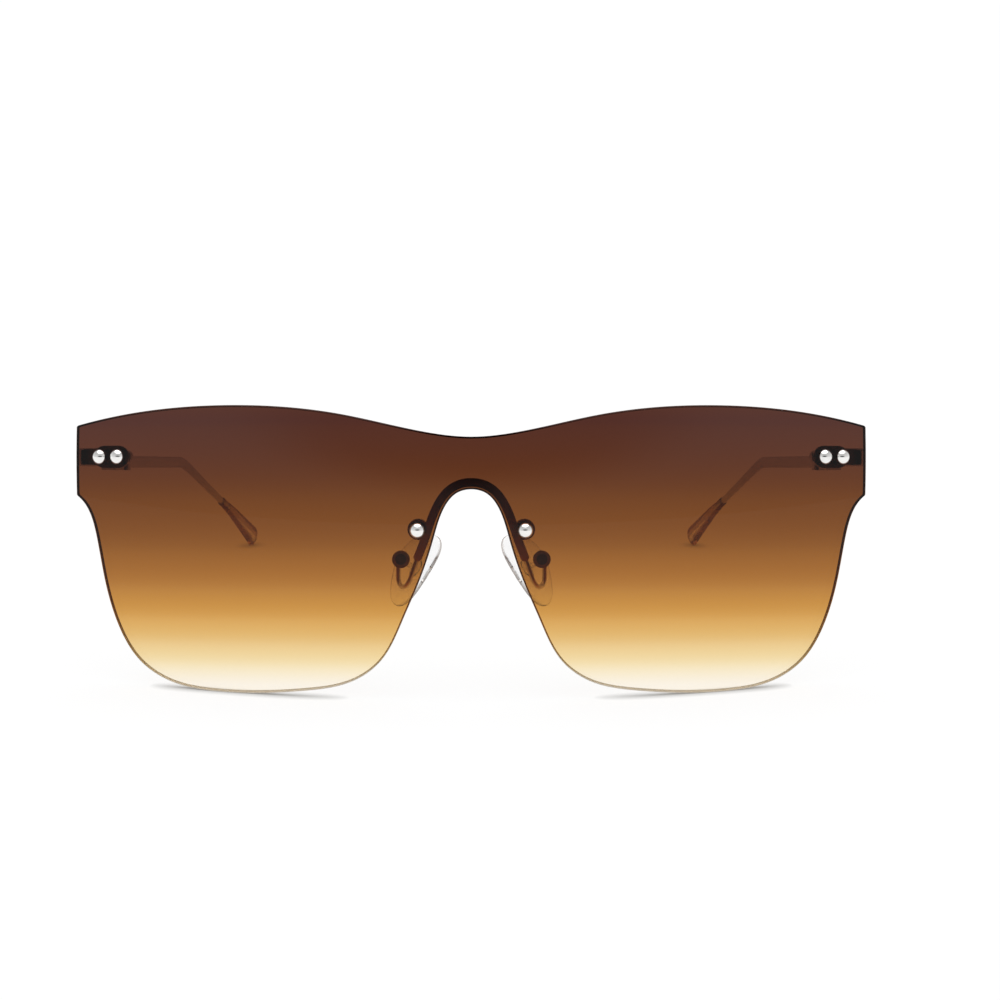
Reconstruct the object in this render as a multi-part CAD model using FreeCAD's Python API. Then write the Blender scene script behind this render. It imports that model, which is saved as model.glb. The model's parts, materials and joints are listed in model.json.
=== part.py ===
import FreeCAD, Part
import math
import os

Vec = FreeCAD.Vector

# Shield sunglasses, in millimetres and degrees. Everything is drawn in the wearer's frame first:
# +X to the wearer's left, +Y back along the temples, +Z up, with the origin at the front of the
# lens on the line of the temple screws. The last step leans the pair back until the lens and the
# ear tips stand on one floor.

# Lens
LENS_WIDTH = 146.6
LENS_RADIUS = 150.0
LENS_THICKNESS = 2.0
LENS_CORNER_ROUND = 0.5

# Lens outline, heights from the line of the temple screws
SIDE_TOP = 5.8
SIDE_BOTTOM = -7.15
BROW_CENTRE = 3.4
# Points of the brow and the lower edge that belong to the side: (distance in from the side, height)
BROW_SIDE = ((12.2, 8.2), (29.6, 9.3))
LOBE_SIDE = ((2.3, -9.8), (4.0, -15.4), (5.35, -22.8), (7.4, -30.2),
             (11.6, -37.6), (17.4, -41.5), (25.6, -43.2))
# Points that belong to the nose: (distance out from the middle, height)
BROW_NOSE = ((23.4, 7.5), (9.0, 4.4))
LOBE_NOSE = ((30.0, -42.9), (21.9, -41.2), (16.5, -37.35), (12.4, -29.7),
             (9.3, -22.4), (6.9, -15.2), (5.1, -9.8))
NOSE_ARCH = ((2.6, -6.75), (0.0, -6.1))

# Lens screws with their bushes and nuts
SCREW_HEAD_DIAMETER = 2.8
SCREW_HEAD_HEIGHT = 0.95
SCREW_DIAMETER = 1.2
SCREW_TAIL = 0.2
EDGE_TO_SCREW = 5.0
SCREW_PITCH = 3.85
BUSH_DIAMETER = 1.9
BUSH_COLLAR_DIAMETER = 3.0
BUSH_COLLAR_THICKNESS = 0.3
BUSH_RECESS = 0.05
NUT_DIAMETER = 2.4
NUT_HEIGHT = 0.9
FIXED_CLEARANCE = 0.03
RUNNING_CLEARANCE = 0.05

# Bridge bar behind the nose cut-out
PLATE_THICKNESS = 1.2
BAR_INSET = 0.4
BAR_END_INSET = 1.0
BAR_WIDTH = 1.6
BAR_REACH = 16.8
BAR_STATIONS = 17
LUG_ALONG = 11.65
LUG_REACH = 1.75
LUG_RADIUS = 1.9

# Pad arms, boxes and screws
ARM_WIRE_DIAMETER = 0.85
ARM_BEND_RADIUS = 1.8
ARM_STAND_OFF = 1.7
ARM_LOOP_DROP = 5.0
ARM_INNER_SPLAY = 2.05
ARM_OUTER_OFFSET = 0.5
BOX_OUT = 3.25
BOX_UP = -0.6
BOX_BACK = 4.5
BOX_DIAMETER = 3.2
BOX_EAR = 0.5
BOX_WALL = 0.4
BOX_WEB_SPAN = 90.0
BOX_WEB_DIRECTION = -55.0
PAD_EYE_DIAMETER = 2.1
PAD_EYE_THICKNESS = 1.1
PAD_SCREW_DIAMETER = 1.0
PAD_SCREW_HEAD_DIAMETER = 2.0
PAD_SCREW_HEAD_HEIGHT = 0.5

# Nose pads
PAD_THICKNESS = 1.8
PAD_ROUND = 0.8
# Points of the rim, straight towards the nose: (height along the pad, distance out from its middle line)
PAD_RIM = ((7.0, 0.0), (5.9, 2.9), (3.6, 4.9), (0.7, 5.5), (-2.3, 4.75), (-5.0, 3.2), (-7.1, 1.3),
           (-7.7, -0.6), (-6.7, -2.3), (-4.3, -3.1), (0.0, -3.2), (3.9, -2.9), (6.2, -1.9))
PAD_LEAN = 32.8
PAD_TURN = 47.0
PAD_OFFSET = 3.3
PAD_SETBACK = 3.4
PAD_STEM_DIAMETER = 1.0
PAD_STEM_STRAIGHT = 2.3
PAD_CORE_LENGTH = 3.4
PAD_CORE_WIDTH = 1.8
PAD_CORE_THICKNESS = 0.5

# End pieces
END_PLATE_HEIGHT = 4.1
END_PLATE_MARGIN = 1.6
END_ARM_HEIGHT = 3.3
END_ARM_ROUND = 0.5
END_OVERHANG = 0.5
END_BEND_RADIUS = 1.6

# Hinges
HINGE_SETBACK = 13.9
HINGE_INSET = 7.6
HINGE_DROP = 0.7
BARREL_DIAMETER = 2.3
BARREL_HEIGHT = 3.2
KNUCKLE_GAP = 0.06
MIDDLE_KNUCKLE = 1.1
LEAF_REACH = 2.5
LEAF_INNER = 0.6
LEAF_LENGTH = 4.0
BUTT_GAP = 0.3
HINGE_SCREW_DIAMETER = 1.2
HINGE_SCREW_HEAD_DIAMETER = 2.0
HINGE_SCREW_HEAD_HEIGHT = 0.5

# Temples and ear tips
TEMPLE_LENGTH = 93.0
TEMPLE_TOE_IN = 3.6
TEMPLE_RISE = 0.6
TEMPLE_THICKNESS = 1.2
TEMPLE_HEIGHT = 2.3
TEMPLE_ROUND = 0.4
WIRE_START_HEIGHT = 1.7
WIRE_START_ROUND = 0.5
WIRE_END_HEIGHT = 1.35
WIRE_END_ROUND = 0.55
DRAWN_BEFORE_BEND = 5.0
DRAWN_AFTER_BEND = 6.0
EAR_RUN = 26.7
EAR_INWARD = 21.8
EAR_DROP = 24.0
EAR_BEND_RADIUS = 14.0
END_RUN = 13.2
END_INWARD = 20.5
END_DROP = 27.0
END_RUN_BEND_RADIUS = 30.0
CORE_WIRE_DIAMETER = 1.1
CORE_LENGTH = 3.7
TIP_DIAMETER = 1.8
TIP_BEFORE_BEND = 6.2
SLEEVE_LENGTH = 2.0
PADDLE_HEIGHT = 4.8
PADDLE_THICKNESS = 2.2
PADDLE_END_RADIUS = 3.4

# Working values: how far cutting blocks reach along the lens rays, as shares of the lens radius,
# how close a corner's edge passes, and the search for the standing lean
BLOCK_FRONT = 1.1
BLOCK_BACK = 0.7
TOUCH = 0.001
STEEPEST_LEAN = 30.0
HALVINGS = 40

# Lens curve: every lens feature lies on rays from the centre of the lens spheres
CENTRE = Vec(0, LENS_RADIUS, 0)
HALF_WIDTH = LENS_WIDTH / 2
BACK_RADIUS = LENS_RADIUS - LENS_THICKNESS


def flat_seat(sphere_radius, disc_diameter):
    """Distance from the sphere's centre at which a flat disc rests inside the sphere on its rim."""
    return math.sqrt(sphere_radius ** 2 - (disc_diameter / 2) ** 2)


COLLAR_SEAT = flat_seat(BACK_RADIUS, BUSH_COLLAR_DIAMETER)
PLATE_FRONT = COLLAR_SEAT - BUSH_COLLAR_THICKNESS
PLATE_BACK = PLATE_FRONT - PLATE_THICKNESS
NUT_SEAT = flat_seat(PLATE_BACK, NUT_DIAMETER)
EDGE_ANGLE = math.asin(HALF_WIDTH / LENS_RADIUS)
EDGE_DEPTH = LENS_RADIUS * (1 - math.cos(EDGE_ANGLE))

# Hinge axis, parallel to Z
HINGE_X = HALF_WIDTH - HINGE_INSET
HINGE_Y = EDGE_DEPTH + HINGE_SETBACK
HINGE_POINT = Vec(HINGE_X, HINGE_Y, -HINGE_DROP)


def mirrored(shape):
    """The same piece for the wearer's other side."""
    return shape.mirror(Vec(0, 0, 0), Vec(1, 0, 0))


def polar(angle):
    """Unit vector in the XZ plane, with the angle in degrees from +X towards +Z."""
    turn = math.radians(angle)
    return Vec(math.cos(turn), 0, math.sin(turn))


def heading(inward, drop):
    """Unit vector back along the temple, turned inward and dropped by the two angles."""
    side = math.radians(inward)
    down = math.radians(drop)
    return Vec(-math.sin(side) * math.cos(down), math.cos(side) * math.cos(down), -math.sin(down))


def upright_of(along):
    """Unit vector square to a run, in the run's upright plane."""
    return (Vec(0, 0, 1) - along * along.z).normalize()


def on_plane(x, z):
    """Point of the plane that touches the lens front in the middle, on the ray through the lens at x, z."""
    stretch = LENS_RADIUS / math.sqrt(LENS_RADIUS ** 2 - x ** 2 - z ** 2)
    return Vec(x * stretch, 0, z * stretch)


def ray_through(plane_point):
    """Unit vector from the centre of the lens spheres through a point of the plane."""
    return (plane_point - CENTRE).normalize()


def rod(start, direction, length, diameter):
    """Cylinder from a point along a direction."""
    return Part.makeCylinder(diameter / 2, length, start, direction)


def smooth(points):
    """Edge of one smooth curve through the points."""
    curve = Part.BSplineCurve()
    curve.interpolate(points)
    return curve.toShape()


def both_sides(points):
    """Points from the +X side to the -X side, for a half outline that ends on the middle line."""
    other = [Vec(-p.x, p.y, p.z) for p in reversed(points[:-1])]
    return points + other


def from_side(pairs):
    """Plane points given by their distance in from the side of the lens and their height."""
    return [on_plane(HALF_WIDTH - inset, height) for inset, height in pairs]


def from_middle(pairs):
    """Plane points given by their distance out from the middle and their height."""
    return [on_plane(out, height) for out, height in pairs]


TOP_CORNER = on_plane(HALF_WIDTH, SIDE_TOP)
LOW_CORNER = on_plane(HALF_WIDTH, SIDE_BOTTOM)
BROW_HALF = [TOP_CORNER] + from_side(BROW_SIDE) + from_middle(BROW_NOSE) + [on_plane(0, BROW_CENTRE)]
LOWER_HALF = [LOW_CORNER] + from_side(LOBE_SIDE) + from_middle(LOBE_NOSE + NOSE_ARCH)
BROW_POINTS = both_sides(BROW_HALF)
LOWER_POINTS = both_sides(LOWER_HALF)
CORNERS = [BROW_POINTS[0], BROW_POINTS[-1], LOWER_POINTS[0], LOWER_POINTS[-1]]
LOWER_EDGE = smooth(LOWER_POINTS)


def lens_outline():
    """Closed outline of the lens on the plane."""
    left_side = Part.LineSegment(TOP_CORNER, LOW_CORNER).toShape()
    right_side = Part.LineSegment(LOWER_POINTS[-1], BROW_POINTS[-1]).toShape()
    return Part.Wire(Part.sortEdges([smooth(BROW_POINTS), left_side, LOWER_EDGE, right_side])[0])


def radial_block(outline):
    """Solid swept by an outline on the plane along the rays to the centre of the lens spheres."""
    front = outline.copy()
    front.scale(BLOCK_FRONT, CENTRE)
    back = outline.copy()
    back.scale(BLOCK_BACK, CENTRE)
    return Part.makeLoft([front, back], True, True)


def sphere_shell(outer_radius, inner_radius):
    """Hollow ball about the centre of the lens spheres."""
    return Part.makeSphere(outer_radius, CENTRE).cut(Part.makeSphere(inner_radius, CENTRE))


def nose_point(along, inset):
    """Plane point at a length along the nose edge from the arch's top, set into the lens by inset."""
    curve = LOWER_EDGE.Curve
    place = LOWER_EDGE.getParameterByLength(LOWER_EDGE.Length / 2 - along)
    tangent = LOWER_EDGE.tangentAt(place)
    inward = Vec(-tangent.z, 0, tangent.x)
    return curve.value(place) - inward.normalize() * inset


def temple_screw_ray(number):
    """Ray of a temple screw on the +X side, counted from the side of the lens."""
    angle = EDGE_ANGLE - (EDGE_TO_SCREW + number * SCREW_PITCH) / LENS_RADIUS
    return Vec(math.sin(angle), -math.cos(angle), 0)


def bar_point(along, across):
    """Plane point of the bridge bar, across its width, where its inset grows with the square of along."""
    inset = BAR_INSET + (BAR_END_INSET - BAR_INSET) * (along / BAR_REACH) ** 2
    return nose_point(along, inset + across)


NOSE_SCREW_RAY = ray_through(bar_point(LUG_ALONG, BAR_WIDTH / 2 + LUG_REACH))
SIDE_RAYS = [temple_screw_ray(0), temple_screw_ray(1), NOSE_SCREW_RAY]
ALL_RAYS = SIDE_RAYS + [Vec(-ray.x, ray.y, ray.z) for ray in SIDE_RAYS]


def drilled(shape, diameter, rays):
    """The shape with a hole along each ray."""
    for ray in rays:
        shape = shape.cut(rod(CENTRE, ray, LENS_RADIUS * BLOCK_FRONT, diameter))
    return shape


def passes_a_corner(edge):
    """Whether an edge of the block runs through one of the outline's four corners."""
    return any(edge.distToShape(Part.Vertex(corner))[0] < TOUCH for corner in CORNERS)


def shield_lens():
    """Spherical shell cut to the outline, with rounded corners and six holes."""
    block = radial_block(lens_outline())
    corners = [e for e in block.Edges if passes_a_corner(e)]
    block = block.makeFillet(LENS_CORNER_ROUND, corners)
    lens = sphere_shell(LENS_RADIUS, BACK_RADIUS).common(block)
    return drilled(lens.Solids[0], BUSH_DIAMETER + 2 * FIXED_CLEARANCE, ALL_RAYS)


def lens_screw(ray):
    """Dome-head screw along a ray, from the lens front to just past its nut."""
    half = SCREW_HEAD_DIAMETER / 2
    ball = (half ** 2 + SCREW_HEAD_HEIGHT ** 2) / (2 * SCREW_HEAD_HEIGHT)
    start = math.degrees(math.asin((ball - SCREW_HEAD_HEIGHT) / ball))
    seat = CENTRE + ray * LENS_RADIUS
    head = Part.makeSphere(ball, seat - ray * (ball - SCREW_HEAD_HEIGHT), ray, start, 90, 360)
    length = LENS_RADIUS - NUT_SEAT + NUT_HEIGHT + SCREW_TAIL
    return head.fuse(rod(seat, -ray, length, SCREW_DIAMETER)).removeSplitter()


def lens_bush(ray):
    """Clear sleeve in a lens hole, with a collar between the lens and the metal."""
    front = CENTRE + ray * (LENS_RADIUS - BUSH_RECESS)
    collar = CENTRE + ray * COLLAR_SEAT
    sleeve = rod(front, -ray, LENS_RADIUS - BUSH_RECESS - COLLAR_SEAT, BUSH_DIAMETER)
    bush = sleeve.fuse(rod(collar, -ray, BUSH_COLLAR_THICKNESS, BUSH_COLLAR_DIAMETER)).removeSplitter()
    return drilled(bush, SCREW_DIAMETER + 2 * FIXED_CLEARANCE, [ray])


def lens_nut(ray):
    """Round nut behind the metal."""
    nut = rod(CENTRE + ray * NUT_SEAT, -ray, NUT_HEIGHT, NUT_DIAMETER)
    return drilled(nut, SCREW_DIAMETER + 2 * FIXED_CLEARANCE, [ray])


def bridge_bar():
    """Bar along the nose cut-out behind the lens, with a ring lug for each nose screw."""
    stations = [BAR_REACH * (2 * i / (BAR_STATIONS - 1) - 1) for i in range(BAR_STATIONS)]
    near = smooth([bar_point(along, 0) for along in stations])
    far = smooth([bar_point(along, BAR_WIDTH) for along in stations])
    ends = []
    for side in (-1, 1):
        tip = bar_point(side * (BAR_REACH + BAR_WIDTH / 2), BAR_WIDTH / 2)
        start = bar_point(side * BAR_REACH, 0)
        stop = bar_point(side * BAR_REACH, BAR_WIDTH)
        ends.append(Part.Arc(start, tip, stop).toShape())
    outline = Part.Wire(Part.sortEdges([near, far] + ends)[0])
    shell = sphere_shell(PLATE_FRONT, PLATE_BACK)
    bar = shell.common(radial_block(outline))
    for ray in (NOSE_SCREW_RAY, ALL_RAYS[-1]):
        bar = bar.fuse(shell.common(rod(CENTRE, ray, LENS_RADIUS, 2 * LUG_RADIUS)))
    bar = bar.removeSplitter()
    return drilled(bar.Solids[0], SCREW_DIAMETER + 2 * FIXED_CLEARANCE, [NOSE_SCREW_RAY, ALL_RAYS[-1]])


def rounded_path(points, radii):
    """Wire of straight runs through the points, with a tangent arc at each inner point."""
    edges = []
    start = points[0]
    for before, corner, after, radius in zip(points, points[1:], points[2:], radii):
        arrive = (corner - before).normalize()
        leave = (after - corner).normalize()
        turn = arrive.getAngle(leave)
        reach = radius * math.tan(turn / 2)
        first = corner - arrive * reach
        last = corner + leave * reach
        towards = (leave - arrive).normalize()
        middle = corner + towards * radius * (1 / math.cos(turn / 2) - 1)
        edges.append(Part.LineSegment(start, first).toShape())
        edges.append(Part.Arc(first, middle, last).toShape())
        start = last
    edges.append(Part.LineSegment(start, points[-1]).toShape())
    return Part.Wire(edges)


def rounded_section(centre, across, upright, width, height, radius):
    """Rectangle with round corners, centred on a point, with its width and height along two unit vectors."""
    edges = []
    side = across * (width / 2)
    rise = upright * (height / 2)
    corners = [centre - side - rise, centre + side - rise, centre + side + rise, centre - side + rise]
    for i, corner in enumerate(corners):
        to_last = (corners[i - 1] - corner).normalize()
        to_next = (corners[(i + 1) % 4] - corner).normalize()
        after = corners[(i + 1) % 4] - to_next * radius
        middle = corner + (to_last + to_next) * radius * (1 - math.sqrt(0.5))
        edges.append(Part.Arc(corner + to_last * radius, middle, corner + to_next * radius).toShape())
        edges.append(Part.LineSegment(corner + to_next * radius, after).toShape())
    return Part.Wire(edges)


def wire_along(points, radii, diameter):
    """Round wire along a rounded path."""
    start = Part.Wire(Part.Circle(points[0], points[1] - points[0], diameter / 2).toShape())
    return rounded_path(points, radii).makePipeShell([start], True, False)


def plate_point(plane_point, radius):
    """Point on the ray through a plane point at a radius from the centre of the lens spheres."""
    return CENTRE + ray_through(plane_point) * radius


BAR_END = plate_point(bar_point(BAR_REACH, BAR_WIDTH / 2), PLATE_BACK)
BOX_CENTRE = BAR_END + Vec(BOX_OUT, BOX_BACK, BOX_UP)


def pad_arm():
    """Bent wire from the end of the bridge bar, down in a loop and up to the pad box."""
    root = BAR_END - Vec(0, PLATE_THICKNESS / 2, 0)
    back = BAR_END + Vec(0, ARM_STAND_OFF, 0)
    low = BOX_CENTRE.z - ARM_LOOP_DROP
    low_inner = Vec(back.x + ARM_INNER_SPLAY, back.y, low)
    low_outer = Vec(BOX_CENTRE.x + ARM_OUTER_OFFSET, BOX_CENTRE.y, low)
    points = [root, back, low_inner, low_outer, BOX_CENTRE + Vec(ARM_OUTER_OFFSET, 0, 0)]
    radii = [ARM_BEND_RADIUS / 2, ARM_BEND_RADIUS, ARM_BEND_RADIUS]
    return wire_along(points, radii, ARM_WIRE_DIAMETER)


BOX_GAP = PAD_EYE_THICKNESS + 2 * RUNNING_CLEARANCE
BOX_DEPTH = BOX_GAP + 2 * BOX_EAR
BACKWARD = Vec(0, 1, 0)
BOX_FRONT = BOX_CENTRE - BACKWARD * (BOX_DEPTH / 2)


def pad_box():
    """Two round ears joined by a curved web, with a hole for the pad screw."""
    box = rod(BOX_FRONT, BACKWARD, BOX_DEPTH, BOX_DIAMETER)
    slot_start = BOX_CENTRE - BACKWARD * (BOX_GAP / 2)
    opening = Part.makeCylinder(BOX_DIAMETER, BOX_GAP, slot_start, BACKWARD, 360 - BOX_WEB_SPAN)
    facing = opening.CenterOfMass - BOX_CENTRE
    turned = math.degrees(math.atan2(facing.z, facing.x))
    opening.rotate(BOX_CENTRE, BACKWARD, turned - (BOX_WEB_DIRECTION + 180))
    pocket = rod(slot_start, BACKWARD, BOX_GAP, BOX_DIAMETER - 2 * BOX_WALL)
    hole = rod(BOX_FRONT, BACKWARD, BOX_DEPTH, PAD_SCREW_DIAMETER + 2 * FIXED_CLEARANCE)
    return box.cut(opening).cut(pocket).cut(hole)


def pad_screw():
    """Small screw through the pad box, with its head in front."""
    head = rod(BOX_FRONT, -BACKWARD, PAD_SCREW_HEAD_HEIGHT, PAD_SCREW_HEAD_DIAMETER)
    return head.fuse(rod(BOX_FRONT, BACKWARD, BOX_DEPTH, PAD_SCREW_DIAMETER)).removeSplitter()


PAD_IN = polar(180 + PAD_LEAN)
PAD_CENTRE = BOX_CENTRE + PAD_IN * PAD_OFFSET + BACKWARD * PAD_SETBACK
PAD_LONG = polar(90 + PAD_LEAN)
PAD_NORMAL = (PAD_IN * math.cos(math.radians(PAD_TURN)) + BACKWARD * math.sin(math.radians(PAD_TURN)))
PAD_OUT = PAD_NORMAL.cross(PAD_LONG)


def pad_plate(outline, thickness):
    """Plate through the middle of the pad, from an outline on its middle plane."""
    plate = Part.Face(Part.Wire(outline.toShape())).extrude(PAD_NORMAL * thickness)
    plate.translate(PAD_NORMAL * (-thickness / 2))
    return plate


def pad_core():
    """Hard eye in the pad box, with a bent stem to an oval plate inside the pad."""
    eye_front = BOX_CENTRE - BACKWARD * (PAD_EYE_THICKNESS / 2)
    eye = rod(eye_front, BACKWARD, PAD_EYE_THICKNESS, PAD_EYE_DIAMETER)
    knee = BOX_CENTRE + PAD_IN * PAD_STEM_STRAIGHT
    neck = rod(BOX_CENTRE, PAD_IN, PAD_STEM_STRAIGHT, PAD_STEM_DIAMETER)
    ball = Part.makeSphere(PAD_STEM_DIAMETER / 2, knee)
    down = PAD_CENTRE - knee
    stem = rod(knee, down, down.Length, PAD_STEM_DIAMETER)
    top = PAD_CENTRE + PAD_LONG * (PAD_CORE_LENGTH / 2)
    side = PAD_CENTRE + PAD_OUT * (PAD_CORE_WIDTH / 2)
    plate = pad_plate(Part.Ellipse(top, side, PAD_CENTRE), PAD_CORE_THICKNESS)
    far_half = PAD_CENTRE + PAD_NORMAL * (PAD_CORE_THICKNESS / 2)
    trim = rod(far_half, PAD_NORMAL, PAD_THICKNESS, PAD_CORE_LENGTH)
    core = eye.fuse([neck, ball, stem.cut(trim), plate]).removeSplitter()
    hole = rod(BOX_FRONT, BACKWARD, BOX_DEPTH, PAD_SCREW_DIAMETER + 2 * RUNNING_CLEARANCE)
    return core.cut(hole)


def nose_pad(core):
    """Soft pad moulded round its core, with a rim that is straight on the nose side and round on the other."""
    rim = Part.BSplineCurve()
    rim.interpolate([PAD_CENTRE + PAD_LONG * height + PAD_OUT * out for height, out in PAD_RIM], PeriodicFlag=True)
    pad = pad_plate(rim, PAD_THICKNESS)
    rims = [e for e in pad.Edges if e.isClosed()]
    return pad.makeFillet(PAD_ROUND, rims).cut(core)


END_OUTER_BEND = END_BEND_RADIUS + PLATE_THICKNESS
END_BEND_X = HALF_WIDTH + END_OVERHANG - END_OUTER_BEND
END_BEND_Y = LENS_RADIUS - math.sqrt((PLATE_FRONT - END_OUTER_BEND) ** 2 - END_BEND_X ** 2)
END_BEND = Vec(END_BEND_X, END_BEND_Y, 0)


def end_arm_direction():
    """Direction of the arm's inner face, which touches the bend and stands off the hinge axis by the leaf."""
    to_axis = Vec(HINGE_X, HINGE_Y, 0) - END_BEND
    swing = math.asin((END_BEND_RADIUS - LEAF_REACH) / to_axis.Length)
    bearing = math.atan2(to_axis.y, to_axis.x) + swing
    return Vec(math.cos(bearing), math.sin(bearing), 0)


END_ARM = end_arm_direction()
END_ARM_OUT = Vec(END_ARM.y, -END_ARM.x, 0)


def end_piece():
    """Curved plate behind the end of the lens, bent back into a rounded arm that carries the hinge."""
    inner_angle = EDGE_ANGLE - (EDGE_TO_SCREW + SCREW_PITCH + END_PLATE_MARGIN) / LENS_RADIUS
    inner_ray = Vec(math.sin(inner_angle), -math.cos(inner_angle), 0)
    bend_ray = (END_BEND - CENTRE).normalize()
    half_turn = (bend_ray + END_ARM_OUT).normalize()
    start_ray = SIDE_RAYS[0]
    middle_ray = (start_ray + bend_ray).normalize()
    plate_middle = (PLATE_FRONT + PLATE_BACK) / 2
    bend_middle = END_BEND_RADIUS + PLATE_THICKNESS / 2
    start = CENTRE + start_ray * plate_middle
    meet = END_BEND + bend_ray * bend_middle
    leave = END_BEND + END_ARM_OUT * bend_middle
    stop = leave + END_ARM * ((HINGE_Y - END_BEND_Y) / END_ARM.y + LEAF_REACH)
    path = Part.Wire([
        Part.Arc(start, CENTRE + middle_ray * plate_middle, meet).toShape(),
        Part.Arc(meet, END_BEND + half_turn * bend_middle, leave).toShape(),
        Part.LineSegment(leave, stop).toShape(),
    ])
    section = rounded_section(start, start_ray, Vec(0, 0, 1), PLATE_THICKNESS, END_ARM_HEIGHT, END_ARM_ROUND)
    arm = path.makePipeShell([section], True, False)
    inner_x = inner_ray.x * PLATE_FRONT + END_PLATE_HEIGHT / 2
    outer_x = start_ray.x * PLATE_FRONT
    ends = [rod(Vec(x, 0, 0), BACKWARD, HINGE_Y, END_PLATE_HEIGHT) for x in (inner_x, outer_x)]
    corner = Vec(inner_x, 0, -END_PLATE_HEIGHT / 2)
    slot = Part.makeBox(outer_x - inner_x, HINGE_Y, END_PLATE_HEIGHT, corner).fuse(ends)
    base = CENTRE - Vec(0, 0, END_PLATE_HEIGHT / 2)
    rolled = Part.makeCylinder(PLATE_FRONT, END_PLATE_HEIGHT, base)
    rolled = rolled.cut(Part.makeCylinder(PLATE_BACK, END_PLATE_HEIGHT, base))
    piece = arm.fuse(rolled.common(slot)).cut(behind_hinge_line()).removeSplitter()
    return drilled(piece.Solids[0], SCREW_DIAMETER + 2 * FIXED_CLEARANCE, SIDE_RAYS[:2])


def behind_hinge_line():
    """Space behind the butt of the end piece, which belongs to the temple."""
    size = LENS_WIDTH
    return Part.makeBox(size, size, size, Vec(HINGE_X - size / 2, HINGE_Y - BUTT_GAP / 2, -size / 2))


def barrel(bottom, height, diameter):
    """Cylinder on the hinge axis, with its bottom measured from the barrel's middle."""
    return rod(HINGE_POINT + Vec(0, 0, bottom), Vec(0, 0, 1), height, diameter)


def leaf_block(direction, outward):
    """Block from the hinge axis to the metal it is soldered to, along a direction from the axis."""
    half = BARREL_HEIGHT / 2
    base = HINGE_POINT - Vec(0, 0, half)
    corners = [
        base - outward * LEAF_INNER - direction * LEAF_LENGTH,
        base + outward * LEAF_REACH - direction * LEAF_LENGTH,
        base + outward * LEAF_REACH + direction * LEAF_LENGTH,
        base - outward * LEAF_INNER + direction * LEAF_LENGTH,
    ]
    face = Part.Face(Part.makePolygon(corners + corners[:1]))
    return face.extrude(Vec(0, 0, BARREL_HEIGHT))


MIDDLE_HALF = MIDDLE_KNUCKLE / 2
SLOT_HALF = MIDDLE_HALF + KNUCKLE_GAP
SWEEP_DIAMETER = BARREL_DIAMETER + BUTT_GAP


def hinge_front_leaf():
    """Leaf on the end piece with the upper and lower knuckles."""
    half = BARREL_HEIGHT / 2
    block = leaf_block(END_ARM, END_ARM_OUT).cut(behind_hinge_line())
    whole = block.fuse(barrel(-half, BARREL_HEIGHT, BARREL_DIAMETER))
    slot = barrel(-SLOT_HALF, 2 * SLOT_HALF, SWEEP_DIAMETER)
    leaf = whole.cut(slot)
    return leaf.cut(barrel(-half, BARREL_HEIGHT, HINGE_SCREW_DIAMETER + 2 * FIXED_CLEARANCE)).removeSplitter()


LEAF_ALONG = heading(TEMPLE_TOE_IN, 0)
TEMPLE_OUT = Vec(LEAF_ALONG.y, -LEAF_ALONG.x, 0)
TEMPLE_ALONG = heading(TEMPLE_TOE_IN, -TEMPLE_RISE)


def hinge_temple_leaf():
    """Leaf on the temple with the middle knuckle."""
    half = BARREL_HEIGHT / 2
    front = Part.makeBox(LENS_WIDTH, LENS_WIDTH, LENS_WIDTH,
                         Vec(0, HINGE_Y + BUTT_GAP / 2 - LENS_WIDTH, -LENS_WIDTH / 2))
    web = leaf_block(LEAF_ALONG, TEMPLE_OUT).cut(front)
    block = web.cut(barrel(-half, BARREL_HEIGHT, SWEEP_DIAMETER))
    band = barrel(-MIDDLE_HALF, MIDDLE_KNUCKLE, LENS_WIDTH)
    knuckle = barrel(-MIDDLE_HALF, MIDDLE_KNUCKLE, BARREL_DIAMETER)
    leaf = block.fuse([web.common(band), knuckle])
    bore = barrel(-half, BARREL_HEIGHT, HINGE_SCREW_DIAMETER + 2 * RUNNING_CLEARANCE)
    return leaf.cut(bore).removeSplitter()


def hinge_screw():
    """Screw on the hinge axis, with its head on top of the barrel."""
    half = BARREL_HEIGHT / 2
    shank = barrel(-half, BARREL_HEIGHT, HINGE_SCREW_DIAMETER)
    head = barrel(half, HINGE_SCREW_HEAD_HEIGHT, HINGE_SCREW_HEAD_DIAMETER)
    return shank.fuse(head).removeSplitter()


TEMPLE_MIDDLE = HINGE_POINT + TEMPLE_OUT * (LEAF_REACH + TEMPLE_THICKNESS / 2)
EAR_BEND = TEMPLE_MIDDLE + TEMPLE_ALONG * TEMPLE_LENGTH
EAR_ALONG = heading(EAR_INWARD, EAR_DROP)
END_ALONG = heading(END_INWARD, END_DROP)
END_BEND_POINT = EAR_BEND + EAR_ALONG * EAR_RUN
TIP_END = END_BEND_POINT + END_ALONG * END_RUN
DRAWN_START = EAR_BEND - TEMPLE_ALONG * DRAWN_BEFORE_BEND
DRAWN_END = EAR_BEND + EAR_ALONG * DRAWN_AFTER_BEND
WIRE_END = END_BEND_POINT - EAR_ALONG * TIP_BEFORE_BEND
PADDLE_START = WIRE_END + EAR_ALONG * SLEEVE_LENGTH


def run_section(centre, along, height, radius):
    """Section of the temple square to its run, with its height upright."""
    upright = upright_of(along)
    return rounded_section(centre, along.cross(upright), upright, TEMPLE_THICKNESS, height, radius)


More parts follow.
